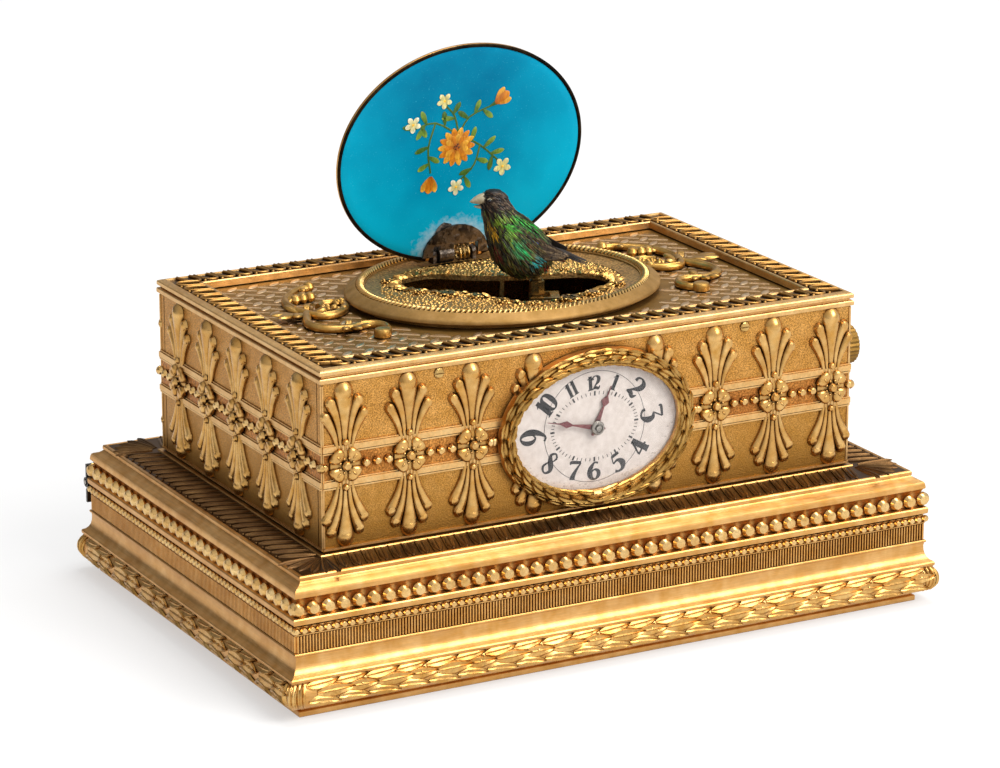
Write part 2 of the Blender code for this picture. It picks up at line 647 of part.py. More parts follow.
def make_lid_spring():
    """The torsion spring that throws the lid open, one wire round the pin."""
    wire, coil, per_turn = SPRING_WIRE, SPRING_COIL, 10
    length = SPRING_SPAN[1] - SPRING_SPAN[0] - 2 * wire
    count = round(SPRING_TURNS * per_turn)
    points = []
    for i in range(count + 1):
        turn = 2 * math.pi * i / per_turn
        along = SPRING_SPAN[0] + wire + length * i / count
        points.append((along, LID_PIVOT_Y + coil * math.cos(turn), LID_PIVOT_Z + coil * math.sin(turn)))
    gap = min(
        (Vector(a) - Vector(b)).length for i, a in enumerate(points) for b in points[i + per_turn // 2:]
    ) - 2 * wire
    print(f"lid spring: least gap between turns {gap:.2f} mm")
    curve = bpy.data.curves.new("lid_spring", "CURVE")
    curve.dimensions = "3D"
    curve.bevel_depth = wire * MM
    curve.bevel_resolution = 1
    curve.use_fill_caps = True
    spline = curve.splines.new("POLY")
    spline.points.add(len(points) - 1)
    for point, place in zip(spline.points, points):
        point.co = (*(Vector(place) * MM), 1)
    curve.materials.append(finish("brass"))
    spring = bpy.data.objects.new("lid_spring", curve)
    bpy.context.scene.collection.objects.link(spring)


LID_UNDER = -0.7  # the lid's underside above its pivot


def make_lid(holder):
    """Drawn shut, about the pivot, then thrown open by its holder."""
    low, high = LID_UNDER, LID_UNDER + LID_WALL
    recess = low + 0.8
    rings = [
        (LID_A - 1.0, LID_B - 1.0, recess), (LID_A - 1.0, LID_B - 1.0, low), (LID_A, LID_B, low),
        (LID_A, LID_B, high - 0.5), (LID_A - 0.7, LID_B - 0.7, high),
        (LID_A * 0.66, LID_B * 0.66, high + 0.7 * LID_DOME), (LID_A * 0.28, LID_B * 0.28, high + LID_DOME),
    ]

    def laid(parts):
        return [[(x, y - LID_PIVOT_Y, z) for x, y in oval(a, b, 48)] for a, b, z in parts]

    def notch():
        return block((-EAR_X - GAP, EAR_X + GAP), (-HINGE_NOTCH, 4), (low - 1, high + 3))

    lid = add("lid", loft(laid(rings)), "gilt brass", holder)
    cut(lid, notch())
    panel_a, panel_b = LID_A - 1.0 - GAP, LID_B - 1.0 - GAP
    panel = add(
        "lid_enamel_panel",
        loft(laid([(panel_a, panel_b, low + 0.1), (panel_a, panel_b, recess - GAP)])),
        "turquoise enamel",
        holder,
    )
    cut(panel, notch())


# Clock


def make_clock():
    face = -HALF_Y
    # An oval about Y is laid in Z and X, so the short half-axis comes first.
    rise = WREATH_RISE
    profile = [(WREATH_B - 0.3, WREATH_A - 0.3, face - GAP), (WREATH_B, WREATH_A, face - GAP - 0.8)]
    profile += [(WREATH_B - 1.0, WREATH_A - 1.0, face - rise + 0.5)]
    profile += [(WREATH_B - 2.2, WREATH_A - 2.0, face - rise)]
    profile += [(DIAL_B + 0.8, DIAL_A + 0.8, face - rise + 0.6), (DIAL_B, DIAL_A, face - rise + 1.2)]
    profile += [(DIAL_B, DIAL_A, face - GAP)]
    add("clock_bezel", oval_moulding(profile, 40, "Y", CLOCK_AT), "gilt brass")
    glass_a, glass_b = DIAL_A - GAP, DIAL_B - GAP
    dome = [(glass_b - 0.6, glass_a - 0.6, face - 1.65), (glass_b, glass_a, face - 1.6)]
    dome += [(glass_b, glass_a, face - 1.95), (glass_b * 0.7, glass_a * 0.7, face - 2.7)]
    dome += [(glass_b * 0.3, glass_a * 0.3, face - 3.0)]
    inner = [(glass_b * 0.3, glass_a * 0.3, face - 2.5), (glass_b * 0.7, glass_a * 0.7, face - 2.2)]
    rings = [[(x, y, z) for x, y in oval(a, b, 40)] for a, b, z in inner + dome]
    add("clock_glass", placed(loft(rings), "Y", CLOCK_AT), "clear glass")
    dial = prism(oval(DIAL_B, DIAL_A), face, face + 0.8, "Y", CLOCK_AT)
    dial = add("clock_dial", dial, "white dial")
    cut(dial, turned([(0.9, face - 1), (0.9, face + 2)], "Y", CLOCK_AT, 12))
    back = face + 0.8 + GAP
    end = back + MOVEMENT_DEPTH
    drum = [(MOVEMENT_RADIUS - 0.6, back), (MOVEMENT_RADIUS, back + 0.6)]
    drum += [(MOVEMENT_RADIUS, end - 1.0), (MOVEMENT_RADIUS - 1.0, end)]
    movement = add("clock_movement", turned(drum, "Y", CLOCK_AT, 28), "brass")
    cut(movement, turned([(0.9, back - 1), (0.9, back + 4)], "Y", CLOCK_AT, 12))
    bore = STEM_RADIUS + GAP
    cut(movement, turned([(bore, STEM_END - 0.8), (bore, 20)], "X", CROWN_AT, 12))
    make_hands(face, back)


def hand_outline(length, broad):
    """A lozenge hand pointing along the first axis, with its boss and a short tail."""
    boss = [(math.cos(t) * 0.95, math.sin(t) * 0.95) for t in (math.radians(a) for a in (40, 70, 110, 140))]
    far = [(-2.0, 0.16), (-2.0, -0.16)]
    low = [(x, -y) for x, y in reversed(boss)]
    point = [
        (length * 0.50, -0.16), (length * 0.62, -broad), (length * 0.76, -0.14), (length, -0.06),
        (length, 0.06), (length * 0.76, 0.14), (length * 0.62, broad), (length * 0.50, 0.16),
    ]
    return low + point + boss + far


def make_hands(face, back):
    for name, length, broad, angle, level in (
        ("hour_hand", HOUR_LENGTH, 0.95, HOUR_ANGLE, face - 0.45),
        ("minute_hand", MINUTE_LENGTH, 0.75, MINUTE_ANGLE, face - 1.05),
    ):
        holder = empty(name + "_arbor_axis", CLOCK_AT, (0, angle, 0))
        hand = add(name, prism(hand_outline(length, broad), level - 0.3, level, "Y"), "blued steel", holder)
        if name == "hour_hand":
            cut(hand, turned([(0.55, face - 2), (0.55, face + 1)], "Y", (0, 0, 0), 12))
        else:
            join(hand, turned([(0.3, level - 0.15), (0.3, back + 3)], "Y", (0, 0, 0), 10))


def make_crown():
    start = HALF_X + 2 * GAP
    outline = []
    knurls = 28
    for i in range(knurls * 2):
        radius = CROWN_RADIUS if i % 2 else CROWN_RADIUS - 0.22
        turn = math.pi * i / knurls
        outline.append((radius * math.cos(turn), radius * math.sin(turn)))
    end = start + CROWN_LENGTH
    steps = [(0.86, start), (1.0, start + 0.5), (1.0, end - 0.5), (0.86, end)]
    rings = [[(x * share, y * share, height) for x, y in outline] for share, height in steps]
    crown = add("crown", placed(loft(rings), "X", CROWN_AT), "gilt brass", smooth=False)
    stem = [(STEM_RADIUS, STEM_END), (STEM_RADIUS, start + 1.5)]
    join(crown, turned(stem, "X", CROWN_AT, 12))


# Bird: local frame with x along the bird, y across it


BODY_SECTIONS = [
    # height above the fold pin, front, back, half width
    (5.4, 3.0, 5.4, 1.2), (6.4, 1.2, 8.0, 3.1), (7.8, -0.6, 9.8, 4.3), (9.7, -2.0, 10.6, 4.9),
    (12.1, -2.9, 10.6, 5.1), (14.5, -3.5, 9.2, 4.9), (16.7, -3.9, 7.2, 4.4), (18.7, -4.2, 5.0, 3.8),
    (20.7, -4.3, 3.0, 3.3), (22.5, -3.9, 1.6, 3.0), (24.1, -3.7, 0.9, 2.5), (25.1, -2.5, -0.1, 1.4),
]
SOCKET = 7.6  # the top of the bore for the post


def body_half_width(s, z):
    """The body's half width at a point of its side view, and nothing outside it."""
    for low, high in zip(BODY_SECTIONS, BODY_SECTIONS[1:]):
        if low[0] <= z <= high[0]:
            share = (z - low[0]) / (high[0] - low[0])
            front, back, width = (low[k] + (high[k] - low[k]) * share for k in (1, 2, 3))
            across = (s - (front + back) / 2) / ((back - front) / 2)
            return width * math.sqrt(max(0.0, 1 - across * across))
    return 0.0


def make_bird():
    shift = in_bird_plane((0, BIRD_SHIFT))
    frame = empty("bird_plane", (*shift, PIVOT_Z), (0, 0, BIRD_TURN))
    rings = []
    for height, front, back, width in BODY_SECTIONS:
        middle, half = (front + back) / 2, (back - front) / 2
        rings.append([(x + middle, y, height) for x, y in oval(half, width, 18)])
    body = add("bird_body", loft(rings), "green feathers", frame)
    cut(body, turned([(0.85 + GAP, 0), (0.85 + GAP, SOCKET)], "Z", (PIVOT_S, 0, 0), 12))
    make_beak(frame)
    for side, name in ((-1, "left_wing"), (1, "right_wing")):
        make_wing(name, side, frame)
    make_tail(frame)
    make_stand(frame)
    make_carriage(frame)


def make_beak(frame):
    for name, root, tip, tall, broad in (
        ("upper_beak", (-4.08, 23.25), (-6.9, 22.8), 1.0, 1.4),
        ("lower_beak", (-4.75, 21.45), (-6.3, 21.5), 0.42, 1.0),
    ):
        rings = []
        for share in (0.0, 0.35, 0.7, 1.0):
            x = root[0] + (tip[0] - root[0]) * share
            z = root[1] + (tip[1] - root[1]) * share
            swell = math.cos(share * math.pi / 2 * 0.86)
            rings.append([(x, y * broad * swell, z + u * tall * swell) for u, y in oval(1, 1, 12)])
        add(name, loft(rings), "ivory", frame)


# The wing's upper and lower edges in side view, from the shoulder to the tip
WING_UPPER = [(0.2, 18.9), (3.4, 18.1), (6.8, 16.1), (9.8, 13.9), (12.2, 12.5), (14.6, 11.1)]
WING_LOWER = [(-0.8, 15.1), (1.6, 12.1), (4.6, 10.3), (7.8, 9.7), (10.8, 9.9), (14.0, 9.9)]


def make_wing(name, side, frame):
    """A shell that follows the body's side from the shoulder to the crossed tips."""
    rows, columns = 4, len(WING_UPPER)
    inner, outer = [], []
    for i in range(columns):
        for j in range(rows + 1):
            share = j / rows
            s = WING_UPPER[i][0] + (WING_LOWER[i][0] - WING_UPPER[i][0]) * share
            z = WING_UPPER[i][1] + (WING_LOWER[i][1] - WING_UPPER[i][1]) * share
            across = max(body_half_width(s, z), body_half_width(s - 0.8, z), 3.0 - 0.1 * i) + 0.4
            thick = 0.35 + 0.5 * math.sin(math.pi * (0.12 + 0.76 * share)) * (1 - 0.5 * i / columns)
            inner.append((s, side * across, z))
            outer.append((s, side * (across + thick), z))
    shape = bmesh.new()
    low = [shape.verts.new(point) for point in inner]
    high = [shape.verts.new(point) for point in outer]
    wide = rows + 1
    for i in range(columns - 1):
        for j in range(rows):
            corners = (i * wide + j, (i + 1) * wide + j, (i + 1) * wide + j + 1, i * wide + j + 1)
            for sheet in (low, high):
                shape.faces.new([sheet[k] for k in corners])
    edge = [i * wide for i in range(columns)] + [(columns - 1) * wide + j for j in range(1, wide)]
    edge += [i * wide + rows for i in range(columns - 2, -1, -1)] + list(range(rows - 1, 0, -1))
    for a, b in zip(edge, edge[1:] + edge[:1]):
        shape.faces.new((low[a], low[b], high[b], high[a]))
    add(name, shape, "dark feathers", frame)


TAIL_SECTIONS = [
    # along, height above the fold pin, half height, half width
    (11.3, 11.7, 1.0, 2.0), (13.6, 10.5, 0.8, 2.3), (16.0, 9.5, 0.6, 2.3), (18.4, 8.7, 0.3, 1.7),
]


def make_tail(frame):
    rings = []
    for s, z, tall, broad in TAIL_SECTIONS:
        rings.append([(s, y * broad, z + u * tall) for u, y in oval(1, 1, 12)])
    add("tail", loft(rings), "dark feathers", frame)


def make_stand(frame):
    """A hexagonal block on the fold pin, the post that carries the bird and the rod that works it."""
    centre = (PIVOT_S, 0, 0)
    hexagon = [(BLOCK_RADIUS, -BLOCK_RADIUS), (BLOCK_RADIUS, BLOCK_RADIUS)]
    stand = add("bird_stand", turned(hexagon, "Y", centre, 6, 30), "brass", frame, smooth=False)
    join(stand, turned([(0.95, 0.8), (0.95, 4.0), (0.85, 4.2), (0.85, SOCKET - GAP)], "Z", centre, 12))
    bore = LID_PIN_RADIUS + RUNNING
    cut(stand, turned([(bore, -4), (bore, 4)], "Y", centre, 12))
    rod_low, rod_high = -1.35, BODY_SECTIONS[1][0] - 0.3
    join(stand, block((-0.9, PIVOT_S - 1.0), (-0.5, 0.5), (rod_low, rod_low + 0.9)))
    rod = [(rod_low, -0.9), (rod_low, 0.1), (rod_high, 0.3), (rod_high, -0.5)]
    join(stand, prism(rod, -0.5, 0.5, "Y"))
    pin = [(LID_PIN_RADIUS, -3.1), (LID_PIN_RADIUS, 3.1)]
    add("fold_pin", turned(pin, "Y", centre, 10), "grey steel", frame)


def make_carriage(frame):
    """A fork on a square stem that slides down its guide as the lid shuts."""
    outer = FORK_GAP + 0.9
    back = CARRIAGE_S + STEM_HALF
    low = STEM_LOW - PIVOT_Z
    carriage = add(
        "bird_carriage",
        block((CARRIAGE_S - STEM_HALF, back), (-STEM_HALF, STEM_HALF), (low, -1)),
        "brass",
        frame,
        smooth=False,
    )
    join(carriage, block((CARRIAGE_S - STEM_HALF, back), (-outer, outer), (-3.0, 1.4)))
    for side in (-1, 1):
        ear = sorted((side * FORK_GAP, side * outer))
        join(carriage, block((PIVOT_S - 1.5, CARRIAGE_S), ear, (-1.5, 1.4)))
    bore = LID_PIN_RADIUS + RUNNING
    cut(carriage, turned([(bore, -4), (bore, 4)], "Y", (PIVOT_S, 0, 0), 12))
    wall, half = 1.2, STEM_HALF + GAP
    foot = BEDPLATE_TOP + GAP - PIVOT_Z
    top = low + 6.5
    sleeve = (CARRIAGE_S - half - wall, CARRIAGE_S + half + wall)
    guide = block(sleeve, (-half - wall, half + wall), (foot, top))
    guide = add("carriage_guide", guide, "brass", frame, smooth=False)
    join(guide, block((CARRIAGE_S - 5, CARRIAGE_S + 5), (-half - wall, half + wall), (foot, foot + 1.2)))
    cut(guide, block((CARRIAGE_S - half, CARRIAGE_S + half), (-half, half), (low - SINK - 0.6, top + 1)))


# Bird movement


def make_bedplate():
    top = BEDPLATE_TOP
    outline = [(-54, -23), (56, -23), (56, 34), (-54, 34)]
    plate = add("bird_bedplate", prism(outline, BEDPLATE_Z, top), "brass", smooth=False)
    for x, y in ((-50, -19), (52, -19), (52, 30), (-50, 30)):
        join(plate, turned([(2.2, FLOOR_TOP + GAP), (2.2, BEDPLATE_Z + 0.5)], "Z", (x, y, 0), 12))
    bridge = prism(smooth_loop(BRIDGE_OUTLINE, 2), BRIDGE_Z, BRIDGE_Z + BRIDGE_WALL)
    bridge = add("movement_bridge", bridge, "brass", smooth=False)
    for centre, radius in ((BARREL_AT, ARBOR_RADIUS), (CAM_AT, ARBOR_RADIUS), (FAN_AT, FAN_ARBOR)):
        hole = oval(radius + GAP, radius + GAP, 16)
        cut(plate, prism(hole, BEDPLATE_Z - 1, top + 1, "Z", centre))
        cut(bridge, prism(hole, BRIDGE_Z - 1, BRIDGE_Z + BRIDGE_WALL + 1, "Z", centre))
    shape = [(1.5, top + GAP), (1.5, top + 2), (1.1, top + 3)]
    shape += [(1.1, BRIDGE_Z - 2), (1.5, BRIDGE_Z - 1), (1.5, BRIDGE_Z - GAP)]
    for number, (x, y) in enumerate(PILLARS, 1):
        add(f"bridge_pillar_{number}", turned(shape, "Z", (x, y, 0), 12), "brass")


BRIDGE_OUTLINE = [
    (20, 4), (24, 31), (38, 34), (54, 27), (57, 12), (57, -8),
    (51, -19), (38, -21), (33, -14), (34, -6), (27, -2),
]
PILLARS = [(22.5, 28.5), (53.5, 19.5), (53.0, -17.0)]


def make_barrel():
    low = BEDPLATE_TOP + 0.6
    teeth = prism(gear_outline(GREAT_TEETH, phase=CAM_DIRECTION), low, low + 1.6, "Z", BARREL_AT)
    barrel = add("spring_barrel", teeth, "brass", smooth=False)
    drum = [(BARREL_RADIUS, low + 1), (BARREL_RADIUS, low + 9.5)]
    drum += [(BARREL_RADIUS - 0.8, low + 10), (4, low + 10)]
    join(barrel, turned(drum, "Z", BARREL_AT, 32))
    bore = ARBOR_RADIUS + RUNNING
    cut(barrel, turned([(bore, low - 1), (bore, low + 15)], "Z", BARREL_AT, 16))
    spindle = [(ARBOR_RADIUS, PANEL_Z - 1), (ARBOR_RADIUS, BRIDGE_Z + BRIDGE_WALL + 2.5)]
    arbor = add("winding_arbor", turned(spindle, "Z", BARREL_AT, 16), "grey steel")
    square = 1.0
    across = (BARREL_X - square, BARREL_X + square)
    join(arbor, block(across, (BARREL_Y - square, BARREL_Y + square), (DECK_Z - 4.4, PANEL_Z - 0.6)))
    ratchet = []
    for i in range(RATCHET_TEETH):
        turn = 2 * math.pi * i / RATCHET_TEETH
        for radius, lag in ((RATCHET_RADIUS, 0.0), (RATCHET_RADIUS - 0.9, 0.05)):
            ratchet.append((radius * math.cos(turn + lag), radius * math.sin(turn + lag)))
    seat = BRIDGE_Z + BRIDGE_WALL + GAP
    join(arbor, prism(ratchet, seat, seat + 1.1, "Z", BARREL_AT))
    x, y = BARREL_X + 2.0, BARREL_Y + RATCHET_RADIUS + 5.5
    reach = BARREL_Y + RATCHET_RADIUS + 0.5
    beak = [(x - 1.4, y + 1.2), (x + 1.6, y + 1.2), (x + 1.6, y - 1.6)]
    beak += [(x - 1.1, reach), (x - 1.8, reach + 0.1)]
    click = add("ratchet_click", prism(beak, seat, seat + 1.1), "grey steel", smooth=False)
    pivot = (x + 0.2, y - 0.2, 0)
    bore = 0.8 + RUNNING
    cut(click, turned([(bore, seat - 1), (bore, seat + 2)], "Z", pivot, 12))
    screw = [(0.8, seat), (0.8, seat + 1.3), (1.3, seat + 1.4), (1.3, seat + 2.0)]
    add("click_screw", turned(screw, "Z", pivot, 12), "grey steel")


RATCHET_TEETH = 20
RATCHET_RADIUS = 5.0
CAM_COUNT = 4


def make_train():
    low = BEDPLATE_TOP + 0.6
    wheel_z = low + 11.0
    # Each pinion has a gap where the wheel before it has a tooth.
    phase = CAM_DIRECTION + 180 + 180 / CAM_PINION_TEETH
    pinion = prism(gear_outline(CAM_PINION_TEETH, phase=phase), low - 0.2, low + 1.9, "Z", CAM_AT)
    cams = add("cam_stack", pinion, "brass", smooth=False)
    arbor = [(ARBOR_RADIUS, BEDPLATE_Z), (ARBOR_RADIUS, BRIDGE_Z + BRIDGE_WALL)]
    join(cams, turned(arbor, "Z", CAM_AT, 16))
    wheel = gear_outline(CAM_WHEEL_TEETH, phase=FAN_DIRECTION)
    join(cams, prism(wheel, wheel_z, wheel_z + 1.2, "Z", CAM_AT))
    join(cams, turned([(2.4, low + 1.5), (2.4, wheel_z + 1.6)], "Z", CAM_AT, 16))
    cam_radius = CAM_DISTANCE - BARREL_RADIUS - CAM_LIFT - 0.7
    for number in range(CAM_COUNT):
        lobes = 3 + number
        outline = []
        for i in range(30):
            turn = 2 * math.pi * i / 30
            radius = cam_radius + CAM_LIFT * math.sin(lobes * turn + number)
            outline.append((radius * math.cos(turn), radius * math.sin(turn)))
        foot = low + 2.6 + number * 2.0
        join(cams, prism(outline, foot, foot + 1.1, "Z", CAM_AT))
    phase = FAN_DIRECTION + 180 + 180 / FAN_PINION_TEETH
    pinion = prism(gear_outline(FAN_PINION_TEETH, phase=phase), wheel_z - 0.2, wheel_z + 1.5, "Z", FAN_AT)
    fan = add("governor_fan", pinion, "grey steel", smooth=False)
    join(fan, turned([(FAN_ARBOR, BEDPLATE_Z), (FAN_ARBOR, BRIDGE_Z + BRIDGE_WALL)], "Z", FAN_AT, 10))
    vane = block((FAN_X - 5.4, FAN_X + 5.4), (FAN_Y - 0.3, FAN_Y + 0.3), (low + 1, low + 9.4))
    join(fan, vane, turned([(1.0, low + 0.6), (1.0, wheel_z)], "Z", FAN_AT, 10))


def make_voice():
    """Bellows over their wind chest, and the sliding-piston whistle that sings."""
    top = BEDPLATE_TOP
    chest = (top + GAP, top + 4.2)
    add("wind_chest", block(BELLOWS_X, BELLOWS_Y, chest), "brass", smooth=False)
    low = chest[1] + GAP
    board = low + BELLOWS_RISE
    # The skin draws in at its fold.
    left, right, fold = BELLOWS_X[0] + 1.5, BELLOWS_X[1] - 0.8, (low + board - GAP) / 2
    folds = [(left, low), (right, low), (right - 1, fold)]
    folds += [(right, board - GAP), (left, board - GAP), (left + 1, fold)]
    leather = prism([(z, x) for x, z in folds], BELLOWS_Y[0] + 1, BELLOWS_Y[1] - 1, "Y")
    add("bellows_leather", leather, "leather", smooth=False)
    upper = add("bellows_board", block(BELLOWS_X, BELLOWS_Y, (board, board + 1.2)), "brass", smooth=False)
    join(upper, block((-36, -32), (20, 26), (board + 1, board + 2.2)))
    centre = top + GAP + WHISTLE_RADIUS + 1.0
    barrel = [(WHISTLE_RADIUS, WHISTLE_X[0]), (WHISTLE_RADIUS, WHISTLE_X[1])]
    tube = add("whistle_tube", turned(barrel, "X", (0, WHISTLE_Y, centre), 20), "brass")
    join(tube, block((-50, -46), (WHISTLE_Y - 2, WHISTLE_Y + 2), (top + GAP, centre - 1.5)))
    join(tube, block((-31, -27), (WHISTLE_Y - 2, WHISTLE_Y + 2), (top + GAP, centre - 1.5)))
    bore = WHISTLE_RADIUS - 1.0
    cut(tube, turned([(bore, WHISTLE_X[0] + 3), (bore, WHISTLE_X[1] + 1)], "X", (0, WHISTLE_Y, centre), 16))
    across = (WHISTLE_Y - 2, WHISTLE_Y + 2)
    cut(tube, block((WHISTLE_X[0] + 4, WHISTLE_X[0] + 8), across, (centre + 1, centre + 5)))
    head = bore - RUNNING
    piston = [(head, -39), (head, -35), (0.6, -34.8), (0.6, -17.2), (1.4, -17), (1.4, -15.5)]
    add("whistle_piston", turned(piston, "X", (0, WHISTLE_Y, centre), 14), "grey steel")


def main():
    clear_scene()
    make_plinth()
    make_upper_plinth()
    make_long_hinge()
    make_panels()
    make_start_slide()
    make_top()
    make_scroll_mounts()
    make_bezel()
    make_grille()
    lid_holder = empty("lid_axis", (0, LID_PIVOT_Y, LID_PIVOT_Z), (-LID_OPEN, 0, 0))
    make_lid_hinge(lid_holder)
    make_lid(lid_holder)
    make_clock()
    make_crown()
    make_bird()
    make_bedplate()
    make_barrel()
    make_train()
    make_voice()


main()
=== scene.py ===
"""Looks of the singing-bird clock: gilt case, enamelled lid, feathered bird and oval dial.

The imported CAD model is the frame. Shapes are drawn in millimetres and made in metres. +X is the crown's
side, +Y the back and +Z up. Relief is drawn flat, with +Z standing off the ground, and then set in place.
"""

import logging
import math
import random
from dataclasses import dataclass, field
from enum import Enum
from typing import Callable, Sequence

import bmesh
import bpy
from mathutils import Matrix, Vector


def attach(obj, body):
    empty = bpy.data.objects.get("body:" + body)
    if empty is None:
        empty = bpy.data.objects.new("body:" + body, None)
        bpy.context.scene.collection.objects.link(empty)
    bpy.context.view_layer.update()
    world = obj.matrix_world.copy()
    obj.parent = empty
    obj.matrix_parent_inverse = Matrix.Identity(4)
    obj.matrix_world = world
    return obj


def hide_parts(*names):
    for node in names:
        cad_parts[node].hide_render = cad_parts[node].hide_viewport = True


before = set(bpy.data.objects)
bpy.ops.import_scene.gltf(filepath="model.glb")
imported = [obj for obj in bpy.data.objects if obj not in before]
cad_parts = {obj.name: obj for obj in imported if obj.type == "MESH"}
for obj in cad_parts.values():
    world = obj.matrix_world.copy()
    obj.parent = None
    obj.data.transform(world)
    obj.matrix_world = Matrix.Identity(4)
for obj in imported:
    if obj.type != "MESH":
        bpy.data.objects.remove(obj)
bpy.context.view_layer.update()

LOG = logging.getLogger("clock")
MM = 0.001
HALF_X, HALF_Y = 64.0, 40.6
CORNERS = ((-1, -1), (1, -1), (1, 1), (-1, 1))
UP = Vector((0.0, 0.0, 1.0))
WHITE = (1.0, 1.0, 1.0)

Row = Sequence[float]
Rows = Sequence[Row]
Pair = tuple[float, float]
Triple = tuple[float, float, float]
Tint = Triple
Tree = bpy.types.NodeTree
Socket = bpy.types.NodeSocket
Thing = bpy.types.Object


def linked(name: str, data: bpy.types.ID) -> Thing:
    """Returns a new object in the scene."""
    thing = bpy.data.objects.new(name, data)
    bpy.context.scene.collection.objects.link(thing)
    return thing


def colour(text: str) -> Tint:
    """Returns the linear colour of a six-digit sRGB hex text."""
    parts = [int(text[i:i + 2], 16) / 255 for i in (0, 2, 4)]
    return tuple(c / 12.92 if c <= 0.04045 else ((c + 0.055) / 1.055) ** 2.4 for c in parts)


def between(a: Sequence[float], b: Sequence[float], share: float) -> list[float]:
    """Returns the numbers that lie a share of the way from a to b."""
    return [x + (y - x) * share for x, y in zip(a, b)]


def smooth(rows: Rows, steps: int, looped: bool = False) -> list[list[float]]:
    """Runs a smooth curve through rows of numbers.

    Args:
        rows: the points, each with any sizes that belong to it.
        steps: parts between two rows.
        looped: whether the last row leads back to the first.

    Returns:
        The rows of the curve.
    """
    if steps < 2 or len(rows) < 3:
        return [list(row) for row in rows]
    curve, count = [], len(rows)
    for i in range(count if looped else count - 1):
        picks = [rows[(i + k) % count if looped else min(max(i + k, 0), count - 1)] for k in (-1, 0, 1, 2)]
        for j in range(steps):
            t = j / steps
            curve.append([
                0.5 * (2 * b + (c - a) * t + (2 * a - 5 * b + 4 * c - d) * t * t
                       + (3 * b - a - 3 * c + d) * t ** 3)
                for a, b, c, d in zip(*picks)
            ])
    if not looped:
        curve.append(list(rows[-1]))
    return curve


def around(count: int, start: float = 0.0) -> list[Pair]:
    """Returns evenly spaced points of a unit circle, from a start in turns."""
    turns = [2 * math.pi * (i / count + start) for i in range(count)]
    return [(math.cos(t), math.sin(t)) for t in turns]


def arc(centre: Row, radii: Row, start: float, end: float, count: int) -> list[Pair]:
    """Returns points of an elliptical arc between two angles in degrees."""
    turns = [math.radians(start + (end - start) * i / count) for i in range(count + 1)]
    return [(centre[0] + radii[0] * math.cos(t), centre[1] + radii[1] * math.sin(t)) for t in turns]


ROUND = around(8)
FINE_ROUND = around(12)
LEAF = [(-1, 0), (-0.62, 0.8), (-0.16, 0.5), (0, 1), (0.16, 0.5), (0.62, 0.8), (1, 0), (0.5, -0.5), (-0.5, -0.5)]
FLAT = [(-1, 1), (1, 1), (1, -1), (-1, -1)]
LOBE = [
    (-1, 0), (-0.93, 0.5), (-0.72, 0.86), (-0.36, 0.93), (0, 0.82), (0.36, 0.93), (0.72, 0.86), (0.93, 0.5), (1, 0),
    (0.5, -0.4), (-0.5, -0.4),
]


